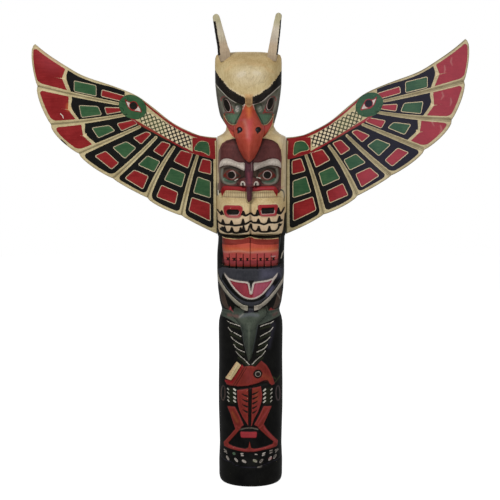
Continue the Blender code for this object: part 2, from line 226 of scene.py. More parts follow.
# ---- drawn shapes ------------------------------------------------------------------------------
@dataclass(frozen=True)
class Shape:
    """A drawn area: signed distance to its edge, negative inside, and the box that holds it."""

    distance: Callable[[Array, Array], Array]
    box: tuple[float, float, float, float]

    def grown(self, by: float) -> "Shape":
        """The same area with its edge moved out.

        Args:
            by: how far, inward if negative.

        Returns:
            The grown area.
        """
        x0, z0, x1, z1 = self.box
        more = max(by, 0.0)
        return Shape(lambda x, z: self.distance(x, z) - by, (x0 - more, z0 - more, x1 + more, z1 + more))

    def within(self, other: "Shape") -> "Shape":
        """The part that lies inside another area too."""
        return Shape(lambda x, z: np.maximum(self.distance(x, z), other.distance(x, z)), self.box)

    def without(self, other: "Shape") -> "Shape":
        """The part that lies outside another area."""
        return Shape(lambda x, z: np.maximum(self.distance(x, z), -other.distance(x, z)), self.box)

    def ring(self, width: float) -> "Shape":
        """A band of the given width along the edge.

        Args:
            width: the band's width.

        Returns:
            The band.
        """
        half = 0.5 * width
        x0, z0, x1, z1 = self.box
        return Shape(lambda x, z: np.abs(self.distance(x, z)) - half,
                     (x0 - half, z0 - half, x1 + half, z1 + half))


def box_of(points: Array, margin: float = 0.0) -> tuple[float, float, float, float]:
    """The box round some points."""
    (x0, z0), (x1, z1) = points.min(axis=0), points.max(axis=0)
    return x0 - margin, z0 - margin, x1 + margin, z1 + margin


def nearest(points: Array, x: Array, z: Array) -> tuple[Array, Array]:
    """Distance to an open path, and the share of its points passed at the nearest place.

    Args:
        points: the path.
        x: places across, in mm.
        z: their heights.

    Returns:
        The two, for each place.
    """
    best, place = np.full(np.shape(x), 1e6), np.zeros(np.shape(x))
    last = len(points) - 1
    for i in range(last):
        a, leg = points[i], points[i + 1] - points[i]
        t = np.clip(((x - a[0]) * leg[0] + (z - a[1]) * leg[1]) / max(leg @ leg, 1e-9), 0.0, 1.0)
        gap = np.hypot(x - a[0] - t * leg[0], z - a[1] - t * leg[1])
        closer = gap < best
        best, place = np.where(closer, gap, best), np.where(closer, (i + t) / last, place)
    return best, place


def stroke(points: Points | Array, width: float, end: float | None = None, swell: float = 0.0) -> Shape:
    """A brush stroke along a path.

    Args:
        points: the path.
        width: width at its start.
        end: width at its end, the same when left out.
        swell: extra width half-way.

    Returns:
        The stroke with round ends: distance to the path less the half-width there.
    """
    p = np.asarray(points, float)
    end = width if end is None else end

    def distance(x: Array, z: Array) -> Array:
        """Distance to the edge of the stroke."""
        gap, place = nearest(p, x, z)
        return gap - 0.5 * (width + (end - width) * place + swell * 4.0 * place * (1.0 - place))

    return Shape(distance, box_of(p, 0.5 * max(width, end) + 0.5 * swell))


def area(points: Points | Array, soft: float = 0.0) -> Shape:
    """A closed area: distance to its nearest side, negative where an odd number of sides lie beyond.

    Args:
        points: its corners, in order.
        soft: how far its corners are rounded, by shrinking and growing again.

    Returns:
        The area.
    """
    p = np.asarray(points, float)

    def distance(x: Array, z: Array) -> Array:
        """Distance to the edge of the area."""
        gap = nearest(np.vstack([p, p[0]]), x, z)[0]
        odd = np.zeros(np.shape(x), bool)
        for a, b in zip(p, np.roll(p, -1, axis=0)):
            if a[1] != b[1]:
                odd ^= ((a[1] > z) != (b[1] > z)) & (x < a[0] + (z - a[1]) * (b[0] - a[0]) / (b[1] - a[1]))
        return np.where(odd, -gap, gap) - soft

    return Shape(distance, box_of(p, soft))


def panel(corners: Points | Array, radius: float) -> Shape:
    """A convex area with round corners: how far a point is past its sides, rounded off at the radius.

    Args:
        corners: its corners, in order.
        radius: how far they are rounded.

    Returns:
        The area.
    """
    p = np.asarray(corners, float)
    q = np.roll(p, -1, axis=0)
    turn = np.sign(np.sum(p[:, 0] * q[:, 1] - q[:, 0] * p[:, 1]))
    leg = (q - p) / np.hypot(*(q - p).T)[:, None]
    out = turn * np.stack([leg[:, 1], -leg[:, 0]], axis=1)

    def distance(x: Array, z: Array) -> Array:
        """Distance to the edge of the panel."""
        past = np.stack([(x - a[0]) * n[0] + (z - a[1]) * n[1] + radius for a, n in zip(p, out)])
        corner = np.sqrt(np.sum(np.maximum(past, 0.0) ** 2, axis=0))
        return corner + np.minimum(past.max(axis=0), 0.0) - radius

    return Shape(distance, box_of(p))


def slab(x0: float, z0: float, x1: float, z1: float) -> Shape:
    """An upright rectangle."""
    return panel([(x0, z0), (x1, z0), (x1, z1), (x0, z1)], 0.0)


def oval(x0: float, z0: float, a: float, b: float, tilt: float = 0.0) -> Shape:
    """An ellipse with half axes a and b, its a axis turned up by tilt degrees.

    Args:
        x0: middle.
        z0: its height.
        a: half axis across.
        b: half axis up.
        tilt: turn in degrees.

    Returns:
        The area.
    """
    c, s = math.cos(math.radians(tilt)), math.sin(math.radians(tilt))

    def distance(x: Array, z: Array) -> Array:
        """About the distance to the edge of the ellipse."""
        u, v = (x - x0) * c + (z - z0) * s, (z - z0) * c - (x - x0) * s
        near, far = np.hypot(u / a, v / b), np.hypot(u / a ** 2, v / b ** 2)
        return near * (near - 1.0) / np.maximum(far, 1e-6)

    reach = max(a, b)
    return Shape(distance, (x0 - reach, z0 - reach, x0 + reach, z0 + reach))


# ---- the carved and painted face ---------------------------------------------------------------
@dataclass
class Face:
    """A surface being carved and painted: its drawing places, relief, coats and tints."""

    x: Array
    z: Array
    relief: Array = field(init=False)
    coats: dict[Coat, Array] = field(default_factory=dict)
    tints: dict[str, Array] = field(init=False)

    def __post_init__(self) -> None:
        """Start flat, bare and clean."""
        self.relief = np.zeros(self.x.shape)
        names = [tint.name.lower() + "_tint" for tint in Tint] + ["comb_tint"]
        self.tints = {name: np.zeros(self.x.shape) for name in names}

    def measure(self, shape: Shape, reach: float = FAR) -> tuple[Array, Array]:
        """Mask of the places within reach of a shape, and their distances to it.

        Args:
            shape: the shape.
            reach: how far from it, in mm.

        Returns:
            The mask, and one distance for each place in it.
        """
        x0, z0, x1, z1 = shape.box
        near = (self.x > x0 - reach) & (self.x < x1 + reach) & (self.z > z0 - reach) & (self.z < z1 + reach)
        return near, np.clip(shape.distance(self.x[near], self.z[near]), -reach, reach)

    def lay(self, coat: Coat, *shapes: Shape) -> None:
        """Paint shapes with a coat, which takes the place of every coat above it there.

        Args:
            coat: the paint.
            shapes: where it goes.
        """
        for shape in shapes:
            near, gap = self.measure(shape)
            own = self.coats.setdefault(coat, np.full(self.x.shape, FAR))
            own[near] = np.minimum(own[near], gap)
            for other, edge in self.coats.items():
                if other.rank > coat.rank:
                    edge[near] = np.maximum(edge[near], -gap)

    def bare(self, *shapes: Shape) -> None:
        """Leave the wood bare inside shapes.

        Args:
            shapes: where the wood shows.
        """
        for shape in shapes:
            near, gap = self.measure(shape)
            for edge in self.coats.values():
                edge[near] = np.maximum(edge[near], -gap)

    def lift(self, shape: Shape, height: float, bevel: float = 4.0) -> None:
        """Raise the inside of a shape, or sink it if height is negative, over a bevelled edge."""
        near, gap = self.measure(shape)
        self.relief[near] += height * smooth(-gap, -0.5 * bevel, 0.5 * bevel)

    def tint(self, name: str, shape: Shape, amount: float, fade: float = 12.0) -> None:
        """Bring a tint up to an amount inside a shape, fading out round it.

        Args:
            name: the tint.
            shape: where.
            amount: its share, 0 to 1.
            fade: width of the fade.
        """
        near, gap = self.measure(shape, max(FAR, 0.5 * fade))
        level = amount * smooth(-gap, -0.5 * fade, 0.5 * fade)
        held = self.tints[name + "_tint"]
        held[near] = np.maximum(held[near], level)

    def clean(self, *shapes: Shape) -> None:
        """Wipe every tint off the inside of shapes.

        Args:
            shapes: where.
        """
        for shape in shapes:
            near, gap = self.measure(shape)
            for held in self.tints.values():
                held[near] *= smooth(gap, -1.0, 2.0)

    def mark(self, shape: Shape, coat: Coat | None = None, lift: tuple[float, float] | None = None,
             **tints: tuple[float, float]) -> None:
        """Paint, carve and tint one shape.

        Args:
            shape: where.
            coat: the paint, if any.
            lift: height and bevel of the relief, if any.
            tints: amount and fade of each tint.
        """
        if coat is not None:
            self.lay(coat, shape)
        if lift is not None:
            self.lift(shape, *lift)
        for name, (amount, fade) in tints.items():
            self.tint(name, shape, amount, fade)

    def inlay(self, coat: Coat, shape: Shape, line: float = 3.0, cut: float = 1.2) -> None:
        """Paint a shape inside a cream line, with a shallow cut between the two.

        Args:
            coat: the paint inside.
            shape: where.
            line: width of the line.
            cut: depth of the cut.
        """
        self.lay(Coat.CREAM, shape.grown(line))
        self.lay(coat, shape)
        self.lift(shape.grown(0.5 * line).ring(3.4), -cut, 3.4)


# ---- the upper bird ----------------------------------------------------------------------------
@dataclass
class Thunderbird:
    """Tooled forehead, black brows, hollow eyes, green cheek lobes and a red beak."""

    centre: float = -8.0
    beak_centre: float = -6.5
    brow_top: Points = ((13, 1489), (14, 1508), (32, 1517), (52, 1529), (77, 1547), (102, 1576), (126, 1612))
    brow_feet: tuple[Points, Points] = (((128, 1566), (100, 1535), (77, 1512), (49, 1494), (20, 1482)),
                                        ((130, 1566), (107, 1546), (82, 1525), (47, 1496), (18, 1486)))
    temple: Points = ((119, 1562), (116, 1530), (111, 1500), (104, 1470), (98, 1450))
    jaw: Points = ((0, 1482), (94, 1457), (93, 1430),
        (90, 1412), (81, 1395), (62, 1366), (40, 1350), (0, 1344))
    lobe: Points = ((24, 1482), (26, 1460), (30, 1446), (38, 1424), (49, 1412), (61, 1409),
        (74, 1415), (88, 1434), (90, 1447), (76, 1452), (62, 1453), (58, 1464), (54, 1476), (45, 1489))
    eye: tuple[float, float, float, float] = (84.0, 1483.5, 10.5, 23.0)
    beak_edge: Points = ((4, 1267), (11, 1273), (21, 1285), (37, 1315), (46, 1340),
        (52, 1361), (54, 1382), (52, 1402), (45, 1424), (35, 1444), (25, 1464), (14, 1484))
    nostril: tuple[float, float, float] = (36.0, 1392.5, 10.5)

    def carve(self, face: Face) -> None:
        """Carve and paint the head.

        Args:
            face: the surface.
        """
        c = self.centre
        near, _ = face.measure(slab(-150, 1531, 150, 1690))
        scoop = gouges(face.x[near], face.z[near] * 0.8, 17, 3)
        face.relief[near] -= 1.6 * scoop * smooth(face.z[near], 1525, 1545)
        # Pale mottled patches on the forehead: painted highlights.
        face.tint("milk", oval(c + 2, 1592, 62, 34), 0.26, 50)
        face.tint("milk", oval(c - 26, 1596, 22, 14, 20), 0.5, 22)
        face.tint("milk", oval(c + 30, 1600, 20, 12, -10), 0.45, 20)
        face.tint("amber", slab(-150, 1636, 150, 1700), 0.07, 40)
        face.tint("moss", slab(-150, 1520, 150, 1700), 0.07, 40)
        for x, z, reach, tilt in ((-50, 1640, 34, 4), (20, 1634, 40, -6),
                (70, 1612, 22, -30), (-84, 1618, 20, 32)):
            face.tint("amber", oval(x, z, reach, 7, tilt), 0.1, 12)
        for x, z, rise in ((2, 1575, 16), (14, 1568, 30), (27, 1562, 33), (42, 1566, 24), (56, 1574, 20)):
            face.tint("soil", stroke([(x, z), (x + 0.6 * rise, z + rise)], 1.6), 0.3, 3)
        rng = np.random.default_rng(4)
        for x, z, tilt in zip(rng.uniform(-70, 60, 26),
                rng.uniform(1545, 1625, 26), rng.uniform(-80, 80, 26)):
            face.tint("soil", oval(x, z, 8, 1, tilt), 0.26, 2.5)
        for side in (-1, 1):
            self._mask(face, side)
            self._lobe(face, side)
            self._eye(face, side)
        self._beak(face)

    def _mask(self, face: Face, side: int) -> None:
        """Brow, the sage field round the eye, the black temple and the red jaw.

        Args:
            face: the surface.
            side: -1 left, 1 right.
        """
        c = self.centre
        foot = self.brow_feet[(side + 1) // 2]
        field_edge = [(16, 1484)] + list(foot[::-1]) + list(self.temple) + [(60, 1430), (30, 1440)]
        face.lay(Coat.SAGE, area(sided(field_edge, side, c)))
        # Painted shade at the top of the eye field, under the brow.
        face.tint("soil", stroke(sided([(30, 1478), (66, 1496),
            (92, 1520), (108, 1540)], side, c), 12), 0.4, 16)
        outside = list(self.temple) + [(95, 1430), (93, 1414), (150, 1406), (150, 1562)]
        face.mark(area(sided(outside, side, c)), Coat.SAGE, soil=(0.35, 14))
        face.lay(Coat.VERMILION, area(sided(self.jaw, side, c)))
        face.tint("milk", stroke(curve(sided([(108, 1512), (103, 1482), (94, 1455)], side, c)), 2), 0.12, 5)
        top = curve(sided(self.brow_top, side, c))
        brow = area(np.vstack([top, sided([(150, 1612), (150, 1566)], side, c),
                               curve(sided(foot, side, c))]))
        below = area(sided([(12, 1480)] + [(out, high + 12) for out,
            high in foot[::-1]] + [(150, 1500), (20, 1440)], side, c))
        face.lay(Coat.WHITE if side < 0 else Coat.BONE, brow.grown(3).within(below))
        face.mark(brow, Coat.INK, lift=(1.8, 5))
        rng = np.random.default_rng(12 + side)
        for share in np.linspace(0.12, 0.96, 34):
            x, z = along(top, share) + rng.uniform(-3, 3, 2)
            face.lay(Coat.INK, oval(x, z, rng.uniform(1, 3), rng.uniform(0.8, 1.8), 40 * side))
        face.tint("milk", stroke(top[6:-8] + (side * -1, 4.5), 2), 0.45, 3)

    def _lobe(self, face: Face, side: int) -> None:
        """The sunk green cheek lobe in its cream line, and the red shadow outside it.

        Args:
            face: the surface.
            side: -1 left, 1 right.
        """
        c = self.centre
        lobe = area(curve(sided(self.lobe, side, c), closed=True, steps=4))
        face.tint("soil", lobe.grown(3).ring(6).within(slab(-150, 1405, 150, 1462)), 0.5, 7)
        low = area(sided([(12, 1484), (12, 1400), (100, 1400), (100, 1440), (70, 1446), (40, 1452)], side, c))
        jaw = area(sided(self.jaw, side, c)).within(slab(-150, 1380, 150, 1462))
        face.tint("rose", jaw.grown(-5).without(lobe.grown(5)), 0.3, 10)
        face.lay(Coat.CREAM, lobe.grown(2.4).within(low))
        face.mark(lobe, Coat.MOSS, lift=(-2.4, 5))
        face.lay(Coat.TEAL, area(sided([(36, 1446), (44, 1424),
            (60, 1415), (76, 1426), (83, 1442), (58, 1445)], side, c), 1))
        # Painted glint on the lobe, stronger on the left, with pale flecks of painted highlight.
        face.mark(area(sided([(34, 1480), (50, 1478), (53, 1468), (50, 1456),
            (38, 1459), (35, 1468)], side, c)),
            milk=(0.1 if side < 0 else 0.05, 10), bloom=(0.3 if side < 0 else 0.1, 10))
        for out, high in ((46, 1475), (41, 1469), (48, 1464), (43, 1459)):
            fleck = oval(c + side * out, high, 4.5, 1.8, 30)
            face.tint("milk", fleck, 0.55 if side < 0 else 0.18, 3)
        # Painted shade along the top of the lobe, under the brow's foot.
        face.tint("soil", stroke(sided([(22, 1484), (50, 1488), (61, 1468)], side, c), 4), 0.4, 6)

    def _eye(self, face: Face, side: int) -> None:
        """An upright dark almond, a pale rim on its inner side and dull red round it.

        Args:
            face: the surface.
            side: -1 left, 1 right.
        """
        c = self.centre
        out, high, a, b = self.eye
        high += 3.5 * side
        x = c + side * out
        face.lay(Coat.SAGE, area(sided([(62, 1478), (64, 1457), (77, 1452.5),
            (90, 1448), (97, 1451), (100, 1464), (98, 1478)], side, c)))
        # Umber round the eye: a dark patch that stands in for the shade in the sunk socket.
        face.lay(Coat.UMBER, area(sided([(84, 1508), (76, 1500), (70, 1486), (66, 1474),
            (68, 1466), (73, 1462), (90, 1462), (96, 1478), (97, 1502)], side, c), 2))
        face.lift(oval(x, high, a + 7, b + 7, -side * 18), -4, 12)
        corner = stroke(sided([(64, 1476), (63, 1464), (55, 1451),
            (68, 1455), (92, 1455.5)], side, c), 2.2, 1.6)
        wing = stroke(sided([(88, 1512), (99, 1513), (106, 1504), (104, 1498)], side, c), 2.4, 1.8)
        face.lay(Coat.BRICK, corner, wing)
        face.tint("rose", corner, 0.35, 3)
        face.tint("rose", wing, 0.3, 3)
        face.mark(oval(x - side * 1.2, high - 0.8, a + 1.5, b + 1.4, -side * 18),
            Coat.BONE, soil=(0.42, 3), rose=(0.3, 3))
        face.mark(oval(x, high, a, b, -side * 18), Coat.INK, lift=(3, 16))

    def _beak(self, face: Face) -> None:
        """The beak's paint, orange above with painted highlights and darkened toward the tip with painted
        shade, its bridge and two round nostrils.

        Args:
            face: the surface.
        """
        c = self.beak_centre
        beak = area(both(self.beak_edge, c))
        face.clean(beak)
        face.lay(Coat.VERMILION, beak)
        bridge = area(both([(0, 1473), (7, 1476), (13, 1486), (13, 1520)], c))
        face.bare(bridge)
        face.tint("amber", bridge.grown(2), 0.34, 10)
        face.tint("soil", bridge.within(slab(-40, 1470, 40, 1511)), 0.55, 16)
        rng = np.random.default_rng(21)
        for x, z in zip(rng.uniform(c - 12, c + 12, 18), rng.uniform(1480, 1520, 18)):
            face.tint("soil", oval(x, z, rng.uniform(1.2, 2.6), rng.uniform(1.5, 4)), 0.62, 2.5)
        for side in (-1, 1):
            face.tint("milk", stroke(sided([(14, 1485), (22, 1467)], side, c), 3, 2), 0.55, 4)
            self._nostril(face, side)
        # Painted highlights down the beak: amber at the top, a pink streak in the middle, a pale streak on
        # the left.
        face.tint("amber", stroke([(c, 1472), (c, 1436)], 20, 8), 0.42, 26)
        face.tint("rose", stroke([(c + 2, 1424), (c + 1, 1360)], 22, 14), 0.42, 24)
        face.tint("rose", stroke([(c - 46, 1424), (c - 14, 1430)], 5), 0.45, 12)
        face.tint("milk", stroke([(c - 16, 1424), (c - 8, 1400), (c - 6, 1368)], 10, 6), 0.16, 20)
        # Painted shade on the lower beak and on its right flank; darker too down the middle of the tip.
        face.tint("soil", area(both([(0, 1262), (16, 1262), (30, 1300), (18, 1330), (0, 1336)], c)), 0.2, 60)
        face.tint("soil", stroke([(c, 1318), (c, 1272)], 3, 10), 0.3, 12)
        face.tint("soil", area(sided([(22, 1330), (46, 1372), (60, 1392),
            (50, 1392), (34, 1352), (16, 1300)], 1, c)), 0.22, 20)

    def _nostril(self, face: Face, side: int) -> None:
        """A round black pit with a pointed tail and a cool glint.

        Args:
            face: the surface.
            side: -1 left, 1 right.
        """
        out, high, radius = self.nostril
        x = self.beak_centre + side * out
        pit = oval(x, high, radius, radius - 0.5)
        face.lay(Coat.INK, pit,
            area([(x - 9, high - 4), (x - 6, high - 16), (x + 3, high - 10), (x + 9, high - 3)]))
        face.lift(pit, -5, 7)
        face.tint("bloom", oval(x - 3, high + 1, 3.5, 4.5), 0.8 if side < 0 else 0.2, 5)


# ---- the middle face ---------------------------------------------------------------------------
@dataclass
class Visage:
    """A maroon face with pale brows, round eyes, a long nose and labret, red lips and comb teeth."""

    centre: float = -5.0
    brow_centre: float = -6.5
    arch_edge: Points = ((120, 1236), (121, 1279), (118, 1312),
        (106, 1337), (88, 1349), (66, 1355), (0, 1362))
    brow: Points = ((17, 1265), (34, 1266), (52, 1271), (72, 1279), (88, 1281), (104, 1277), (114, 1265),
        (117, 1246), (106, 1252), (92, 1256), (74, 1257), (56, 1252), (38, 1245), (24, 1239), (17, 1238))
    socket: Points = ((15, 1239), (32, 1244), (54, 1252), (80, 1256), (102, 1252), (113, 1240), (114, 1210),
                      (106, 1189), (86, 1180), (62, 1182), (46, 1192), (34, 1206), (17, 1208))
    eye: tuple[float, float] = (67.0, 1219.5)
    teeth_pitch: float = 7.2

    def carve(self, face: Face) -> None:
        """Carve and paint the face.

        Args:
            face: the surface.
        """
        face.lay(Coat.MAROON, area(both(((118, 1176),) + self.arch_edge, self.centre + 2)))
        # Painted shadow of the beak on the maroon beside it, and painted shade under the bird's jaw.
        face.tint("soil", area(both([(0, 1266), (14, 1272), (30, 1292), (60, 1350), (62, 1360), (0, 1362)],
                                    self.brow_centre)), 0.72, 12)
        face.tint("soil", stroke([(-60, 1353), (-92, 1342)], 6), 0.5, 14)
        for side in (-1, 1):
            self._eye(face, side)
            self._brow(face, side)
        self._nose(face)
        self._mouth(face)
        self._flanks(face)

    def _eye(self, face: Face, side: int) -> None:
        """Dark socket with a grey rim, dull red corners, and a black pupil ringed in white.

        Args:
            face: the surface.
            side: -1 left, 1 right.
        """
        c = self.centre
        socket = area(curve(sided(self.socket, side, c), closed=True, steps=4))
        face.lay(Coat.BLACK, socket.grown(2.2))
        face.lay(Coat.UMBER, socket)
        face.tint("soil", stroke(sided([(20, 1228), (40, 1220), (30, 1212)], side, c), 12), 0.2, 20)
        rim = stroke(curve(sided([(103, 1240), (106, 1216), (100, 1195),
            (84, 1187), (62, 1187), (50, 1194)], side, c)), 9, 7)
        lid = stroke(curve(sided([(98, 1247), (78, 1250), (56, 1245), (38, 1236)], side, c)), 3.6, 2.6)
        face.lay(Coat.SLATE, rim, lid)
        face.tint("milk", rim.grown(-1), 0.17, 6)
        face.tint("moss", rim, 0.1, 5)
        face.tint("milk", lid, 0.12, 4)
        face.lay(Coat.TEAL, stroke(sided([(97, 1202), (80, 1194), (60, 1193)], side, c), 9, 6))
        # Painted sheen on the teal.
        face.tint("bloom", stroke(sided([(97, 1202), (80, 1194), (60, 1193)], side, c), 6), 0.12, 6)
        out, high = self.eye
        x = c + side * out
        almond = area(curve(sided([(100, 1214), (86, 1230), (70, 1239), (50, 1231),
            (33, 1215), (52, 1206), (70, 1200), (86, 1209)], side, c), closed=True, steps=4))
        face.mark(almond, Coat.BRICK, soil=(0.35, 6))
        face.lay(Coat.UMBER, almond.grown(-2.4))
        face.lay(Coat.BRICK, area(sided([(98, 1214), (88, 1224), (84, 1214), (88, 1208)], side, c)))
        # The white stroke on each pupil, and the pale spot on it below, are painted highlights.
        if side < 0:
            face.lay(Coat.BONE, oval(x + 3, high, 13.8, 16))
            face.lay(Coat.INK, oval(x + 0.4, high - 0.5, 12.6, 13.6))
            face.lay(Coat.WHITE, stroke([(-59, 1198), (-49, 1204)], 4, 3))
        else:
            face.lay(Coat.BONE, oval(x, high, 16.6, 16.6))
            face.lay(Coat.INK, oval(x, high, 13.6, 13.8))
            face.lay(Coat.WHITE, stroke([(23, 1210), (37, 1207)], 3.4, 3))
        face.tint("rose", oval(x, high, 15, 15.5).ring(3), 0.28, 3)
        face.tint("milk", oval(x - 1, high - 2, 5, 6), 0.1, 6)
        face.lift(oval(x, high, 26, 22), 4, 20)

    def _brow(self, face: Face, side: int) -> None:
        """A raised slab of worn off-white, longer on the right.

        Args:
            face: the surface.
            side: -1 left, 1 right.
        """
        stretch = np.array([1 + 0.04 * side, 1])
        brow = area(curve(sided(np.array(self.brow) * stretch, side, self.brow_centre), closed=True, steps=3))
        face.mark(brow, Coat.BONE, lift=(3.2, 5))
        # Paler in the middle of the brow, more on the left: a painted highlight.
        face.tint("milk", brow.grown(-7), 0.4 if side < 0 else 0.15, 8)
        rng = np.random.default_rng(30 + side)
        for share in np.linspace(0.03, 0.97, 22):
            out, high = 20 + 92 * share, 1252 + 14 * math.sin(math.pi * share ** 1.5)
            x, z = self.brow_centre + side * out * stretch[0] + rng.uniform(-3, 3), high + rng.uniform(-9, 9)
            face.tint("soil", oval(x, z, rng.uniform(1.5, 3), 1.4, rng.uniform(0, 90)),
                rng.uniform(0.2, 0.5), 3)

    def _nose(self, face: Face) -> None:
        """Plum ridge between two wings, each wing with a pale hoop.

        Args:
            face: the surface.
        """
        c = self.brow_centre
        face.lay(Coat.MAROON, area(both([(0, 1284), (14, 1284), (15, 1211),
            (32, 1208), (44, 1200), (48, 1188), (44, 1176), (0, 1176)][::-1], c)))
        face.lay(Coat.PLUM, area(both([(11, 1176), (13, 1206), (15, 1230), (15, 1284), (0, 1290)], c)))
        for side in (-1, 1):
            x = (-29.5, 21)[(side + 1) // 2]
            face.tint("soil",
                stroke([(x - 15 * side, 1206), (x + 14 * side, 1198), (x + 17 * side, 1184)], 4), 0.5, 6)
            face.lay(Coat.BONE, oval(x, 1185.5, 9.2, 12.5, -8 * side))
            face.mark(stroke([(x - 1, 1190), (x + (2 if side < 0 else -2), 1174)], 5, 8.5),
                Coat.INK, lift=(-2.5, 4))
            face.tint("soil", stroke([(c + side * 17, 1270), (c + side * 16, 1214)], 2), 0.6, 6)
        # A painted highlight down the nose ridge.
        face.tint("milk", stroke([(3, 1268), (4, 1238)], 2), 0.2, 4)
        face.tint("rose", stroke([(c - 2, 1226), (c + 2, 1190)], 8), 0.2, 14)

    def _mouth(self, face: Face) -> None:
        """Red lips with hooked ends over pale comb teeth, parted by the labret.

        Args:
            face: the surface.
        """
        c = self.centre
        face.bare(area(both([(0, 1120), (124, 1120), (124, 1158), (108, 1166), (0, 1166)], c)))
        face.lay(Coat.MAROON, area(both([(0, 1172), (104, 1168), (110, 1148), (121, 1160),
            (121, 1190), (0, 1190)], c)).within(slab(-150, 1140, 150, 1184))
            .without(area(both([(0, 1182), (48, 1182), (48, 1215), (0, 1215)], self.brow_centre))))
        for side in (-1, 1):
            face.mark(area(sided([(6, 1176), (54, 1176), (88, 1178), (101, 1173), (109, 1157), (104, 1136),
                (97, 1150), (90, 1161), (55, 1162), (6, 1157)], side, c)), Coat.RED, lift=(1.5, 4))
            face.tint("rose", stroke(sided([(14, 1168), (92, 1170)], side, c), 6),
                0.12 if side < 0 else 0.35, 6)
            # Painted shade under the upper lip.
            face.tint("soil", stroke(sided([(12, 1160), (60, 1163)], side, c), 3), 0.3, 4)
            face.mark(area(sided([(8, 1158), (88, 1159), (96, 1147),
                (97, 1133), (8, 1133)], side, c)), comb=(1, 3), milk=(0.1, 8))
        labret = panel([(c - 10, 1184), (c + 10, 1184), (c + 10, 1130),
            (c + 4, 1119), (c - 5, 1119), (c - 10, 1130)], 3)
        face.lay(Coat.PLUM, labret.within(slab(-40, 1100, 40, 1178)))
        face.mark(labret, lift=(1.5, 3), soil=(0.25, 6))

    def _flanks(self, face: Face) -> None:
        """Greyer wood at the shoulders, where the paint of the wing joint has run and chipped.

        Args:
            face: the surface.
        """
        for side in (-1, 1):
            shoulder = area(sided([(121, 1372), (84, 1376), (98, 1400), (150, 1400),
                (150, 1136), (122, 1136), (122, 1330), (108, 1350)], side, 0))
            face.mark(shoulder, milk=(0.3, 24), soil=(0.08, 24))
            face.tint("soil", shoulder.within(slab(-150, 1136, 150, 1200)), 0.2, 20)
            for x, z, long in ((124, 1352, 26), (133, 1306, 34), (128, 1250, 30), (134, 1200, 24)):
                face.tint("soil", stroke([(side * x, z), (side * (x + 1), z - long)], 2), 0.3, 4)
            face.tint("milk", stroke(sided([(131, 1350), (131, 1190)], side, 1), 2), 0.4, 5)
            face.tint("soil", stroke(sided([(122, 1330), (124, 1240), (122, 1150)], side, -1), 2), 0.4, 6)
        face.lay(Coat.INK, stroke([(-131, 1184), (-130, 1138)], 3.4, 6),
            stroke([(-119, 1154), (-119, 1148)], 4))
        face.lay(Coat.WHITE, stroke([(-125, 1156), (-124, 1142)], 4))
        face.mark(stroke(curve([(114, 1162), (125, 1154), (129, 1138), (128, 1116)]), 5, 2.5),
            Coat.SPRUCE, soil=(0.45, 3))
        face.tint("rose", stroke([(112, 1166), (126, 1172)], 4), 0.4, 10)


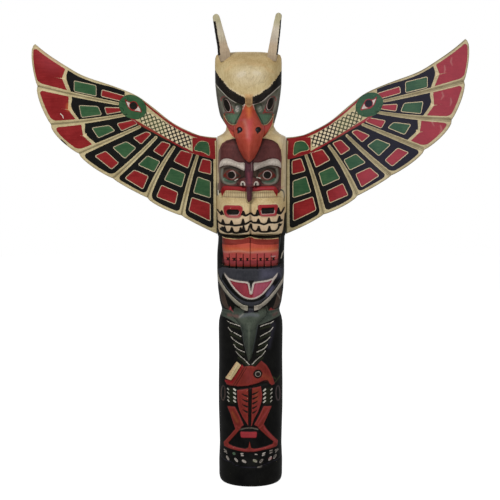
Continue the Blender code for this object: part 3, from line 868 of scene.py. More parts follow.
# ---- the hands and the claws -------------------------------------------------------------------
@dataclass
class Hands:
    """Two pillowed blocks with red ovals, and two rows of black scallops under them."""

    line: float = 7.4
    # Each trough as a path, and the places of the peaks that stand on it.
    troughs: tuple[tuple[Points, Points], ...] = ((((-128, 1080), (-120, 1074), (-113, 1069)),
        ((-111, 1084),)), (((-26, 1070), (-18, 1068), (-4, 1075)), ((-28, 1086),)), (((1, 1076), (10, 1069),
        (24, 1069)), ((26, 1090),)), (((107, 1074), (116, 1074), (129, 1090)), ((106, 1096),)),
        (((-127, 1037), (-115, 1033), (-100, 1031), (-79, 1032), (-61, 1030), (-42, 1032), (-22, 1035),
        (-3, 1044)), ((-107, 1050), (-73, 1049), (-29, 1056))), (((2, 1046), (9, 1041), (32, 1040),
        (50, 1035), (69, 1041), (96, 1040), (120, 1046)), ((29, 1056), (69, 1060), (110, 1064))),
        (((-116, 1012), (-106, 1005), (-88, 1001), (-72, 1004), (-60, 1000), (-42, 1002), (-22, 1005),
        (-10, 1009), (-4, 1027)), ((-109, 1022), (-100, 1024), (-72, 1023), (-38, 1023), (-27, 1030))),
        (((1, 1033), (5, 1016), (16, 1008), (28, 1011), (42, 1005), (62, 1005), (78, 1008), (92, 1007),
        (104, 1014), (110, 1033)), ((30, 1028), (71, 1028), (112, 1024))),)

    def carve(self, face: Face) -> None:
        """Carve and paint both blocks.

        Args:
            face: the surface.
        """
        face.lift(stroke([(-1, 1122), (-1, 992)], 5), -4, 7)
        # Painted shade down the groove between the two blocks.
        face.tint("soil", stroke([(-1, 1100), (-1, 996)], 5), 0.55, 12)
        face.tint("rose", slab(-128, 1000, 128, 1090), 0.12, 30)
        face.tint("milk", slab(-128, 1000, 128, 1062), 0.26, 30)
        face.tint("soil", slab(-128, 996, 128, 1050), 0.08, 30)
        for side, x0, z0 in ((-1, -67.5, 1082), (1, 65.5, 1086.5)):
            self._ring(face, side, x0, z0)
        self._scallops(face)
        lip = curve([(-121, 994), (-110, 989), (-67, 984), (-29, 985),
            (-3, 990), (28, 985), (60, 984), (94, 985), (116, 992)])
        face.lay(Coat.INK, stroke(lip, 6.5))
        # A painted highlight along the blocks' lower edge, above the black lip.
        face.tint("milk", stroke(lip + (0, 9), 3), 0.3, 9)
        for side in (-1, 1):
            flank = area(sided([(129, 1068), (150, 1080), (150, 980), (116, 986), (124, 1008)], side, 0))
            face.clean(flank)
            face.lay(Coat.BLACK, flank)

    def _ring(self, face: Face, side: int, x0: float, z0: float) -> None:
        """A red oval in a cream line, round a dark slot with a pale edge.

        Args:
            face: the surface.
            side: -1 left, 1 right.
            x0: the oval's middle.
            z0: its height.
        """
        round_by = 17 if side < 0 else 10
        high = 23.5 if side < 0 else 22
        ring = panel([(x0 - 39, z0 + high), (x0 + 38, z0 + high + 1), (x0 + 39, z0 - 10),
            (x0 + 32, z0 - high), (x0 - 30, z0 - high), (x0 - 38, z0 - 8)], round_by)
        slot = panel([(x0 - 25, z0 + 9 + side), (x0 + 24, z0 + 10 + side),
            (x0 + 23, z0 - 10), (x0 - 23, z0 - 12)], 9 if side < 0 else 3)
        face.inlay(Coat.RED, ring, 2.6, 1)
        face.lift(ring, 1.8, 4)
        # A pinkish band inside the oval's edge: a painted highlight.
        face.tint("rose", ring.grown(-4).ring(5), 0.22, 6)
        face.lift(slot, -6, 5)
        face.mark(slot.grown(2).within(slab(x0 - 20 - 6 * side, z0 - 16, x0 + 32, z0 + 1)),
            Coat.BONE, rose=(0.4, 2), soil=(0.2, 2))
        face.lay(Coat.INK, slot)

    def _scallops(self, face: Face) -> None:
        """Engraved black troughs, darkened inside by painted shade; each peak is a wedge on its trough, and a
        painted highlight runs along the ridge below.

        Args:
            face: the surface.
        """
        cuts = []
        for path, peaks in self.troughs:
            line = curve(path, steps=4)
            cuts.append(stroke(line, self.line))
            # A painted highlight along the ridge under each trough.
            face.tint("milk", stroke(line - (0, 6), 2.4), 0.5, 5)
            for x, z in peaks:
                foot = np.interp(x, line[:, 0], line[:, 1])
                cuts.append(area([(x - 2.2, z), (x + 2.2, z), (x + 9, foot), (x - 9, foot)], 0.6))
        for cut in cuts:
            face.mark(cut, Coat.INK, lift=(-2.2, 4.5))
            # Painted shade deepens the black in each cut.
            face.tint("soil", cut.grown(-1), 0.8, 2)


@dataclass
class Claws:
    """A stepped orange block whose lower edge is slit into eight claws."""

    centre: float = -1.5
    pitch: float = 26.7
    mark_centre: float = -0.5
    mark_pitch: float = 25.0

    def carve(self, face: Face) -> None:
        """Carve and paint the block.

        Args:
            face: the surface.
        """
        c = self.centre
        face.lay(Coat.BLACK, slab(-150, 868, 150, 986))
        top = curve([(-109, 981), (-77, 979), (-39, 980), (-6, 986), (5, 985), (24, 981), (106, 979)])
        face.lay(Coat.CREAM, area(np.vstack([top + (0, 1.6), [(106, 960), (-109, 960)]])))
        face.lay(Coat.VERMILION, area(np.vstack([top - (0, 1.2), [(107, 949),
            (105, 906), (102, 868), (-100, 868), (-104, 907), (-109, 945)]])))
        # The brick band under the lip is a darker red that stands in for the shadow under the hands.
        face.lay(Coat.BRICK, area(np.vstack([top - (0, 1.2), [(106, 958),
            (28, 960), (-3, 966), (-57, 959), (-109, 955)]])))
        # Brick along the bottom: painted shade where the block turns down.
        face.lay(Coat.BRICK, slab(-104, 866, 104, 897)
            .within(area([(-103, 900), (104, 900), (101, 866), (-99, 866)])))
        face.tint("rose", slab(-104, 880, 104, 926), 0.3, 14)
        face.tint("rose", slab(14, 906, 102, 930), 0.42, 14)
        block = slab(-112, 868, 107, 986)
        # Painted highlights along the claws' raised front edge: amber and pale bands.
        face.tint("amber", stroke([(-96, 940), (94, 939)], 12).within(block), 0.25, 20)
        face.tint("amber", stroke([(70, 938), (94, 934)], 16).within(block), 0.3, 20)
        face.tint("milk",
            stroke(curve([(-103, 926), (-48, 934), (-3, 929), (28, 931), (100, 933)]), 5), 0.24, 14)
        face.lay(Coat.INK, stroke([(-100, 868), (102, 868)], 6))
        face.lift(stroke([(c, 984), (c, 870)], 2.5), -4, 5)
        # Painted shade down the middle groove, and in each slit below.
        face.tint("soil", stroke([(c, 984), (c, 870)], 2), 0.55, 7)
        for i in range(-3, 4):
            x = c + i * self.pitch
            slit = stroke([(x, 924 - 3 * (i % 2)), (x, 866)], 1.6, 4)
            if i:
                face.mark(slit, lift=(-6, 4.5), soil=(0.8, 4.5))
        for i, half in enumerate((5, 6.5, 4.5, 3.5, 5.5, 4, 5.5, 5)):
            x = self.mark_centre + (i - 3.5) * self.mark_pitch
            marks = [stroke([(x - half, 903.5), (x + half, 904.5)], 3.2)]
            if i != 4:
                marks += [stroke([(x - half + 1.5, 896), (x + half, 895.5)], 3.6),
                    slab(x - 2.5, 895, x + 3.5, 904)]
            for mark in marks:
                face.mark(mark, Coat.INK, lift=(-1.6, 4))
        face.lay(Coat.BONE, stroke([(78, 911), (93, 911)], 3.6))


# ---- the raven ---------------------------------------------------------------------------------
@dataclass
class Raven:
    """Slate forehead with a red crest, brow bands, a grey-green cheek and a long beak."""

    centre: float = 1.0
    beak_centre: float = -5.5
    crest: Points = ((102, 842), (84, 824), (60, 818), (30, 815), (13, 813), (7, 807), (0, 770))
    crest_foot: Points = ((98, 828), (82, 806), (68, 788), (46, 765), (24, 751), (0, 746))
    band_top: Points = ((134, 856), (128, 834), (118, 811),
        (98, 785), (75, 759), (54, 740), (33, 725), (12, 720))
    band_foot: Points = ((136, 822), (128, 806), (103, 774),
        (83, 751), (65, 731), (44, 715), (30, 707), (13, 704))
    beak_edge: Points = ((4, 512), (9, 518), (14, 540), (22, 578), (30, 620), (36, 650), (43, 672), (46, 690))
    quills: tuple[Points, ...] = (((91, 653), (76, 647), (62, 645), (38, 638)),
                                  ((87, 630), (76, 617), (60, 610), (37, 599)),
                                  ((76, 594), (62, 581), (30, 565)), ((66, 566), (52, 550), (24, 538)),
                                  ((58, 541), (46, 526), (24, 509), (5, 489)))

    def carve(self, face: Face) -> None:
        """Carve and paint the head, from the forehead down to the beak.

        Args:
            face: the surface.
        """
        face.lay(Coat.SLATE, area(both([(112, 668), (116, 740), (134, 820), (134, 868)], self.centre)))
        face.lay(Coat.BLACK, stroke([(-110, 868), (110, 868)], 9))
        # Painted glare on the right of the slate forehead.
        face.tint("bloom", slab(40, 826, 112, 860), 0.22, 40)
        self._crest(face)
        for side in (-1, 1):
            self._band(face, side)
            self._ear(face, side)
        self._cheek(face)
        for side in (-1, 1):
            self._quills(face, side)

    def _crest(self, face: Face) -> None:
        """A boat-shaped red field with a notch, its pale border, and the dark trough under it.

        Args:
            face: the surface.
        """
        c = self.centre
        right = sided(self.crest, 1, c)
        left = sided(self.crest, -1, c)
        foot = curve(np.vstack([sided(self.crest_foot, -1, c),
            sided(self.crest_foot[-2::-1], 1, c)]), steps=4)
        shape = area(np.vstack([foot, right, left[-2::-1]]))
        trough = area(np.vstack([sided([(109, 842), (114, 824)], -1, c),
            foot * (1.16, 1) - (0, 12), sided([(114, 824), (109, 842)], 1, c), foot[::-1]]))
        face.lay(Coat.BLACK, trough, area([(-9, 820), (14, 820), (5, 806), (2, 786), (-3, 806)]))
        face.lift(trough, -1.5, 5)
        # Painted sheen on the black trough.
        face.tint("bloom", stroke([(84, 790), (64, 762)], 12), 0.4, 12)
        face.mark(shape, Coat.BONE, lift=(1.5, 3.5))
        inner = shape.grown(-5.2)
        face.bare(inner)
        face.mark(inner, Coat.RED, lift=(-2, 3.5))
        face.tint("milk", shape.ring(4), 0.15, 4)
        # The right half of the crest is pinker and hazed by painted glare, with streaks of it; the left half
        # a little.
        face.mark(inner.within(slab(8, 740, 110, 850)), rose=(0.16, 16), bloom=(0.3, 16))
        for x in (24, 40, 52, 63):
            face.tint("bloom", stroke([(x, 806), (x - 6, 776)], 4, 2).within(inner), 0.55, 6)
        face.mark(inner.within(slab(-100, 740, 0, 850)), rose=(0.06, 16), bloom=(0.12, 16))

    def _band(self, face: Face, side: int) -> None:
        """The band of the brow, and the hollow of the eye under it.

        Args:
            face: the surface.
            side: -1 left, 1 right.
        """
        c = self.centre
        top, foot = curve(sided(self.band_top, side, c)), curve(sided(self.band_foot, side, c))
        face.lay(Coat.BLACK, area(sided([(10, 722), (10, 696), (60, 694), (112, 697),
            (122, 740), (136, 800), (104, 772), (66, 730), (30, 706)], side, c)))
        face.lay(Coat.SPRUCE, area(sided([(62, 714), (40, 706),
            (26, 702), (34, 696), (66, 696)], side, c), 1))
        # Painted shade in the eye hollow under the band.
        face.tint("soil", slab(c + side * 45 - 22, 700, c + side * 45 + 22, 716), 0.5, 10)
        face.mark(area(sided([(113, 795), (120, 760), (113, 720), (100, 702),
            (84, 702), (92, 722)], side, c)), Coat.UMBER, soil=(0.36, 10))
        # Painted shade under the band's outer end.
        face.tint("soil", stroke(sided([(112, 790), (96, 740), (74, 716)], side, c), 10), 0.4, 14)
        band = area(np.vstack([top, foot[::-1]]))
        face.lay(Coat.BLACK, band.grown(3.5))
        face.mark(band, Coat.BONE, lift=(2.2, 4),
            soil=(0.34 if side < 0 else 0.24, 2), moss=(0.25 if side < 0 else 0.12, 6))
        x = c + side * 80
        if side < 0:
            star = area([(x - 16, 699), (x - 4, 700), (x, 713), (x + 5, 702), (x + 15, 693), (x + 2, 697)])
        else:
            star = area([(x - 13, 698), (x - 6, 702), (x - 3, 708), (x + 1, 701), (x + 17, 695), (x, 696)])
        face.mark(star, Coat.BRICK, rose=(0.45 if side < 0 else 0.2, 3))
        if side > 0:
            face.lay(Coat.UMBER, stroke([(103, 760), (114, 735)], 4.5, 3))
            face.tint("milk", stroke([(103, 760), (114, 735)], 3.5, 2), 0.35, 3)

    def _ear(self, face: Face, side: int) -> None:
        """A dark ear at the side of the block, its inner edge picked out.

        Args:
            face: the surface.
            side: -1 left, 1 right.
        """
        face.mark(area(sided([(102, 868), (106, 888), (112, 904), (128, 924),
            (150, 920), (150, 850), (124, 852)], side, 0)), Coat.BLACK, lift=(2, 6))
        if side > 0:
            face.lay(Coat.SPRUCE, area([(108, 872), (118, 876), (119, 896), (108, 888)]))
            face.tint("milk", stroke([(116, 896), (120, 912), (127, 922)], 3.4, 2), 0.6, 3)

    def _cheek(self, face: Face) -> None:
        """The grey-green band under the eyes, which runs into the beak.

        Args:
            face: the surface.
        """
        band = curve([(-116, 668), (-108, 684), (-78, 686), (-41, 688), (0, 697),
            (28, 693), (67, 684), (104, 687), (114, 670), (90, 662), (66, 654), (34, 645),
            (-5, 640), (-46, 645), (-66, 654), (-90, 664)], closed=True, steps=3)
        edges = both(self.beak_edge, self.beak_centre)
        face.lay(Coat.SPRUCE, slab(-112, 672, 112, 696), area(band), area(edges))
        face.lift(area(band), 1.5, 6)
        face.tint("rose", stroke([(-84, 676), (-50, 682)], 8), 0.22, 16)
        face.tint("rose", stroke([(88, 676), (100, 680)], 8), 0.15, 16)
        face.tint("milk", stroke([(-43, 679), (-29, 692)], 3), 0.25, 7)
        # A painted highlight over the top of the beak; darker down the lower beak.
        face.tint("bloom", stroke([(-38, 684), (-5, 692), (26, 686)], 9), 0.26, 14)
        face.tint("soil", slab(-26, 500, 15, 600), 0.3, 60)
        # Painted sheen along both edges of the beak.
        for side, amount in ((-1, 0.14), (1, 0.24)):
            rim = [(out - 2, high) for out, high in self.beak_edge if 530 < high < 660]
            face.tint("bloom", stroke(sided(rim, side, self.beak_centre), 3), amount, 4)

    def _quills(self, face: Face, side: int) -> None:
        """Five white quills down each side of the beak, each on a dark brown feather.

        Args:
            face: the surface.
            side: -1 left, 1 right.
        """
        for quill in self.quills:
            path = curve(sided(quill, side, -0.5), steps=3)
            face.lay(Coat.WHITE, stroke(path, 2.2, 3))
            face.lift(stroke(path, 3, 4.5), -1.2, 4)
            face.tint("soil", stroke(path[:6], 3, 3), 0.35, 5)
            face.tint("moss", stroke(path[3:] - (0, 11), 8, 5), 0.07, 6)
        # Painted glare over the right-hand quills.
        if side > 0:
            face.tint("bloom", stroke([(88, 640), (80, 596), (70, 555)], 12, 8), 0.1, 22)


# ---- the salmon and the foot -------------------------------------------------------------------
@dataclass
class Salmon:
    """A red salmon, head up, held by two hands, with ribs, bent fins and a wide tail."""

    spine: float = -3.0
    lift_by: float = 3.5
    head: Points = ((-41, 491), (-26, 480), (0, 484), (19, 480), (40, 503),
        (59, 485), (73, 460), (84, 430), (91, 407), (82, 404), (66, 418), (48, 422),
        (28, 416), (-10, 405), (-58, 403), (-92, 405), (-99, 420), (-74, 428))
    body: Points = ((-51, 386), (-30, 390), (38, 402), (43, 370), (40, 341), (28, 306),
        (10, 272), (2, 246), (-8, 246), (-14, 258), (-30, 282), (-43, 311), (-50, 345))

    def carve(self, face: Face) -> None:
        """Carve and paint the fish.

        Args:
            face: the surface.
        """
        self._head(face)
        self._body(face)
        self._fins(face)
        self._tail(face)
        for side in (-1, 1):
            self._hand(face, side)

    def _raise(self, face: Face, coat: Coat, shape: Shape) -> None:
        """Paint a part of the fish and lift it off the ground, its edge a little paler."""
        face.mark(shape, coat, lift=(self.lift_by, 5))
        face.tint("rose", shape.grown(-1.5).ring(3), 0.08, 3)

    def _head(self, face: Face) -> None:
        """The head with its ruled bar, dark double edge, ringed eye and slanting mouth.

        Args:
            face: the surface.
        """
        self._raise(face, Coat.BRICK, area(self.head, 1))
        # A faint painted glint on the right of the head.
        face.tint("amber", stroke([(46, 446), (70, 430)], 14), 0.07, 20)
        face.tint("rose", stroke([(-12, 462), (-4, 430)], 20), 0.08, 24)
        bar = panel([(-54, 500), (-36, 487), (-73, 424), (-98, 428)], 2)
        face.mark(bar, Coat.CREAM, lift=(3.5, 3))
        face.tint("rose", stroke([(-56, 494), (-92, 432)], 3), 0.3, 6)
        face.tint("moss", stroke([(-55, 466), (-64, 446)], 8), 0.3, 10)
        for i in range(5):
            x, z = -49.5 - 6.2 * i, 484 - 10.8 * i
            face.lay(Coat.UMBER, stroke([(x - 6, z + 2), (x + 3, z - 1.5)], 3, 2))
        band = stroke([(-33, 484), (-67, 424), (-74, 414), (-96, 416)], 8, 10)
        face.lay(Coat.RED, band.without(bar))
        for gap in (8, 16):
            face.mark(stroke([(-31 + gap, 480), (-62 + gap, 424), (-74 + gap, 403)], 1.8),
                lift=(-1.6, 3), soil=(0.65, 3.5))
        x, z = 27, 453
        for radius, coat in ((16.5, Coat.BLACK), (10.5, Coat.BONE), (8.3, Coat.INK)):
            face.lay(coat, oval(x, z, radius, radius))
        face.tint("soil", oval(x, z, 10, 10).ring(3), 0.55, 3)
        face.lift(oval(x, z, 16, 16).ring(5), -2, 5)
        face.lift(oval(x, z, 10, 10), 2, 8)
        face.mark(area([(-72, 402), (-48, 402), (-10, 407), (28, 417), (48, 425), (64, 425), (72, 414),
            (28, 406), (-1, 399), (-30, 391), (-52, 387), (-72, 392)], 1), Coat.BLACK, lift=(-2.5, 6))

    def _body(self, face: Face) -> None:
        """The tapering body with a black spine and short engraved ribs.

        Args:
            face: the surface.
        """
        self._raise(face, Coat.BRICK, area(self.body, 1))
        face.tint("amber", stroke([(20, 386), (24, 350)], 14), 0.07, 16)
        face.tint("rose", stroke([(36, 360), (24, 300)], 8), 0.1, 12)
        face.mark(stroke([(self.spine + 1, 399), (self.spine - 1, 243)], 15.5, 12.5),
            Coat.BLACK, lift=(-4.5, 5))
        for i in range(5):
            for side, z, out in ((-1, 375 - 21 * i, 35 - 1.5 * i), (1, 383 - 18.5 * i, 31 - 1.6 * i)):
                if z < 292:
                    continue
                near, far = (-13.5, -out) if side < 0 else (8.5, out - 2)
                face.mark(stroke([(far, z), (0.5 * (far + near), z - 5.5), (near, z - 9.5)], 2.4, 6.6),
                    Coat.INK, lift=(-1.8, 3.5))

    def _fins(self, face: Face) -> None:
        """The two arms that rise from the tail to the hands.

        Args:
            face: the surface.
        """
        for outline in ([(-90, 318), (-61, 320), (-45, 291), (-27, 250), (-44, 238), (-66, 250), (-77, 288)],
                        [(50, 323), (80, 320), (64, 284), (50, 252), (36, 238), (14, 252), (34, 290)]):
            arm = area(outline)
            self._raise(face, Coat.BRICK, arm)
        face.tint("rose", stroke([(68, 312), (30, 256)], 4), 0.25, 10)
        face.tint("amber", stroke([(-70, 296), (-52, 262)], 8), 0.14, 14)

    def _tail(self, face: Face) -> None:
        """A framed tail fin with a slate arc, a red bar and a small spike.

        Args:
            face: the surface.
        """
        outer = area([(-64, 247), (-40, 238), (30, 238), (50, 250), (60, 232),
            (105, 173), (103, 156), (97, 153), (48, 149), (9, 144),
            (-20, 144), (-69, 149), (-103, 153), (-104, 168), (-58, 232)], 0.5)
        self._raise(face, Coat.BRICK, outer)
        face.mark(area([(-34, 242), (26, 242), (88, 176), (86, 167), (44, 158),
            (12, 155), (1, 160), (-4, 184), (-9, 160), (-20, 155), (-53, 158),
            (-84, 165), (-87, 173)]), Coat.BLACK, lift=(-self.lift_by, 5))
        face.tint("rose", stroke([(-84, 160), (-20, 151), (10, 151), (86, 162)], 4), 0.2, 4)
        face.tint("rose", stroke([(52, 236), (100, 168)], 6), 0.25, 8)
        arc = curve([(-42, 230), (-20, 237), (6, 238), (28, 232)])
        face.lay(Coat.SAGE, stroke(arc, 4))
        face.tint("soil", stroke(arc, 5), 0.3, 4)
        face.mark(panel([(-40, 223), (24, 223), (22, 200), (-38, 200)], 5),
            Coat.RED, lift=(3, 5), rose=(0.2, 8))

    def _hand(self, face: Face, side: int) -> None:
        """Two columns of pale nail marks and the faint loop of the wrist behind them.

        Args:
            face: the surface.
            side: -1 left, 1 right.
        """
        near, far = ((-62.5, -87), (53.5, 80))[(side + 1) // 2]
        for i in range(4):
            z = (387, 372, 355, 341)[i]
            grip = stroke([(near - 3.2 * -side, z + 2.6), (near + 3.2 * -side, z - 2.2)], 6, 5)
            nail = stroke([(far - 2.6 * -side, z + 1), (far + 2.6 * -side, z - 4)], 4.2, 3.4)
            face.lay(Coat.WHITE, grip, nail)
            face.lift(grip, -1.5, 3.5)
            face.tint("soil", nail, (0.15, 0.62, 0.55, 0.35)[i], 3)
        face.tint("moss", slab(min(near, far), 330, max(near, far), 394), 0.04, 10)
        x = (-109, 108)[(side + 1) // 2]
        # The wrist loop carries a little painted sheen, more on the right.
        face.mark(oval(x, 364, 8, 29, 3 * side).ring(3.4), Coat.UMBER, bloom=(0.05 if side < 0 else 0.14, 4))
        face.lift(oval(x, 364, 8, 29, 3 * side).ring(5), -1.5, 4)
        if side > 0:
            for ray in ([(115, 430), (95, 411)], [(97, 424), (84, 435)]):
                face.tint("moss", stroke(ray, 3), 0.2, 5)


@dataclass
class Foot:
    """Rows of small pale cuts above a turned groove."""

    def carve(self, face: Face) -> None:
        """Carve and paint the band.

        Args:
            face: the surface.
        """
        dashes = ((-100, 136, -1.5), (-98, 128, -1.5), (-34, 135, 0.5), (-32, 127.5, 0), (22, 132, -1),
            (52, 135, 1), (50, 127, 0.5), (80, 141, 0.5), (80, 132, 0.5), (101, 138, 0.5), (104, 132, 3))
        for x, z, rise in dashes:
            face.lay(Coat.BONE, stroke([(x - 4.5, z - rise), (x + 4.5, z + rise)], 3.8, 3))
            face.tint("soil", oval(x, z, 7, 4), 0.3 + 0.25 * (abs(x) > 70), 3)
        face.mark(oval(-65, 131, 6, 5), Coat.TEAL, soil=(0.4, 5))
        ovals = ((-91, 108, -55, 0.35), (-57, 107, -45, 0.25), (-26, 105, -30, 0.2), (17, 107, -30, 0.3),
                 (41, 105, 45, 0.75), (76, 110, 55, 0.2), (96, 112, 50, 0.7))
        for x, z, tilt, dull in ovals:
            face.mark(oval(x, z, 9, 4.4, tilt), Coat.BONE, lift=(-2, 4),
                soil=(min(dull + 0.25, 0.85), 4))
        face.tint("moss", oval(17, 107, 8, 4), 0.5, 4)
        face.tint("rose", oval(76, 110, 8, 4), 0.35, 4)
        ring = curve([(-124, 101), (-106, 95), (-79, 94), (-63, 86),
            (-38, 81), (28, 81), (64, 90), (106, 96), (124, 102)])
        face.lift(stroke(ring, 3), -2.4, 6)
        # A painted highlight along the groove, and a painted glint beside it.
        face.tint("bloom", stroke(ring + (0, 2), 1.5), 0.14, 4)
        face.tint("milk", stroke([(28, 82), (44, 84)], 3), 0.35, 3)


# ---- the trunk ---------------------------------------------------------------------------------
@dataclass
class Trunk:
    """The carved log: level rings, finest where the carving is, closed at foot and crown."""

    crown: float = 1683.0
    head_lean: float = -9.0
    figure_shift: float = -6.5
    chest_lean: float = 3.0
    shoulder: float = 1361.0
    back_depth: float = 97.8
    rows: int = 541
    front_columns: int = 161
    back_columns: int = 18
    samples: int = 401              # places measured across a ring when the columns are spread
    level_step: float = 1.5
    window: int = 18                # rings over which the columns' places are evened out, each way
    # How far the eyes of each head, the sockets and the paws' sides fall behind their masses.
    bird_sink: float = 13.0
    socket_sink: float = 15.0
    paw_fall: float = 12.0
    raven_sink: float = 12.0
    nose_root: float = 115.0
    beak_root: float = 88.0
    beak_blend: float = 50.0

    # Height, half-width and front depth of each carved layer.
    CORE = np.array([(0, 118, 112), (6, 123, 119), (20, 125.5, 122), (80, 126, 123),
        (150, 123, 120), (200, 124, 120), (300, 126.5, 121), (390, 126.5, 121), (500, 125, 120),
        (610, 126, 118), (640, 125, 116), (660, 121, 112), (677, 115, 107), (690, 113, 104),
        (720, 121, 104), (770, 128, 104), (832, 131, 106), (896, 131, 106), (975, 129, 104),
        (990, 134, 98), (1100, 134, 94), (1340, 134, 94), (1361, 132, 92), (1372, 110, 90),
        (1385, 97, 90), (1402, 91, 90), (1424, 101, 92), (1440, 108, 94), (1460, 113, 96),
        (1480, 117, 97), (1520, 123, 98), (1560, 127, 98), (1640, 128, 80), (1658, 127, 64),
        (1670, 123, 49), (1677, 113, 36), (1680, 85, 27), (1683, 50, 18)], float)
    HEAD = np.array([(1352, 40, 98), (1360, 58, 108), (1372, 72, 113), (1385, 80, 117), (1403, 90, 120),
        (1424, 101, 122), (1440, 108, 124), (1460, 113, 126), (1480, 117, 128), (1500, 120, 130),
        (1530, 124, 132), (1560, 127, 132), (1606, 128, 129), (1622, 128, 122), (1640, 128, 106),
        (1658, 127, 81), (1670, 123, 58), (1677, 113, 40), (1680, 85, 29), (1683, 50, 18)], float)
    BEAK = np.array([(1268, 4, 100), (1273, 10, 205), (1285, 20, 214), (1315, 36, 226),
        (1340, 45, 232), (1360, 52, 232), (1380, 57, 226), (1400, 57, 214),
        (1420, 50, 196), (1440, 39, 174), (1460, 28, 152), (1485, 17, 130)], float)
    FACE = np.array([(1116, 117, 106), (1132, 119, 111), (1152, 121, 114), (1158, 121, 120),
        (1174, 121, 120), (1182, 121, 114), (1230, 121, 116), (1277, 121, 120), (1315, 119, 119),
        (1336, 110, 114), (1346, 98, 108), (1352, 84, 102), (1357, 60, 96)], float)
    NOSE = np.array([
        (1114, 4, 118), (1119, 9, 138), (1140, 11, 141), (1176, 12, 143), (1180, 40, 143), (1192, 46, 143),
        (1204, 36, 139), (1212, 18, 136), (1250, 16, 132), (1282, 14, 124)], float)
    HANDS = np.array([(990, 124, 112), (996, 127, 128), (1010, 129, 137), (1045, 131, 141),
        (1085, 131, 140), (1110, 130, 134), (1126, 127, 122), (1134, 122, 110)], float)
    CLAWS = np.array([
        (868, 101, 110), (872, 103, 121), (926, 110, 148), (934, 111, 151), (966, 114, 150), (982, 115, 140),
        (986, 115, 120)], float)
    RAVEN = np.array([
        (672, 112, 106), (684, 113, 116), (700, 115, 122), (720, 121, 126), (770, 128, 130), (832, 131, 130),
        (862, 131, 126), (874, 130, 114)], float)
    RAVEN_BEAK = np.array([(512, 4, 124), (518, 8, 184), (540, 13, 194),
        (578, 21, 202), (620, 29, 202), (650, 36, 194), (664, 48, 184),
        (678, 62, 168), (692, 68, 150), (704, 64, 132), (712, 50, 122)], float)
    # Height and how square the log is there.
    ROUND = np.array([(950, 2.1), (985, 3.0), (1355, 3.0), (1400, 2.4)], float)
    # Height and how closely the rings lie there.
    FINENESS = np.array([(0, 0.6), (70, 0.6), (90, 0.95), (500, 0.95), (660, 0.9), (700, 1.0),
        (985, 1.05), (1000, 1.3), (1200, 1.3), (1230, 1.15), (1480, 1.1), (1600, 0.8), (1683, 0.7)], float)

    def lean(self, z: Array) -> Array:
        """Sideways drift of the middle: right between the wings, left at the head."""
        drift = self.chest_lean * smooth(z, 900.0, 975.0)
        return drift + (self.head_lean - self.chest_lean) * smooth(z, self.shoulder, 1450.0)

    @staticmethod
    def station(table: Array, z: Array, column: int) -> Array:
        """A layer's half-width (column 1) or depth (column 2) at height z."""
        return np.interp(z, table[:, 0], table[:, column])

    def layer(self, table: Array, x: Array, z: Array,
            power: Array | float, base: Array | float = 0.0) -> Array:
        """Depth of one layer: base plus an arch to the layer's depth, and 0 outside its outline.

        Args:
            table: rows of height, half-width and depth.
            x: places across, in mm.
            z: their heights.
            power: how square the arch is.
            base: depth at its outline.

        Returns:
            The depth at each place.
        """
        half = self.station(table, z, 1)
        inside = (z >= table[0, 0]) & (z <= table[-1, 0]) & (np.abs(x) < half)
        rise = np.maximum(self.station(table, z, 2) - base, 0.0) * arch(x, half, power)
        return np.where(inside, base + rise, 0.0)

    def depth(self, x: Array, z: Array) -> Array:
        """Distance from the axis plane to the carved front, for x from the trunk's own middle.

        Args:
            x: places across, in mm.
            z: their heights.

        Returns:
            The depth at each place.
        """
        deep = self.layer(self.CORE, x, z, self.station(self.ROUND, z, 1))
        head = self.layer(self.HEAD, x, z, 2.3)
        # Under the fold of the brow, which rises to both sides, the bird's head falls back.
        under = smooth(1483.0 + 0.0036 * x ** 2 - z, -6.0, 14.0) * smooth(z, 1400.0, 1450.0)
        deep = meet(deep, head - self.bird_sink * under * (head > 0))
        visage = self.layer(self.FACE, x, z, 3.2)
        middle = x + self.lean(z) - self.figure_shift
        socket = ((np.abs(middle) - 66.0) / 50.0) ** 2 + ((z - 1220.0) / 38.0) ** 2
        deep = meet(deep, visage - self.socket_sink * smooth(1.0 - socket, 0.0, 0.6) * (visage > 0))
        deep = np.maximum(deep, self.layer(self.NOSE, middle, z, 2.0, np.minimum(deep, self.nose_root)))
        half_hand = 0.5 * self.station(self.HANDS, z, 1)
        across = np.abs(x + 2.0) - half_hand
        pillow = self.paw_fall * (1.0 - arch(across, half_hand + 2.0, 2.0))
        deep = meet(deep, self.layer(self.HANDS, x, z, 3.2) - pillow)
        deep = meet(deep, self.layer(self.CLAWS, x, z, 4.0))
        raven = self.layer(self.RAVEN, x, z, 2.3)
        under = smooth(712.0 + 0.006 * x ** 2 - z, -6.0, 16.0)
        deep = meet(deep, raven - self.raven_sink * under * (raven > 0))
        for table in (self.BEAK, self.RAVEN_BEAK):
            root = np.minimum(deep, self.beak_root)
            beak = self.layer(table, middle, z, 1.7, root)
            deep = np.where(beak > root, meet(deep, beak, self.beak_blend), deep)
        return deep

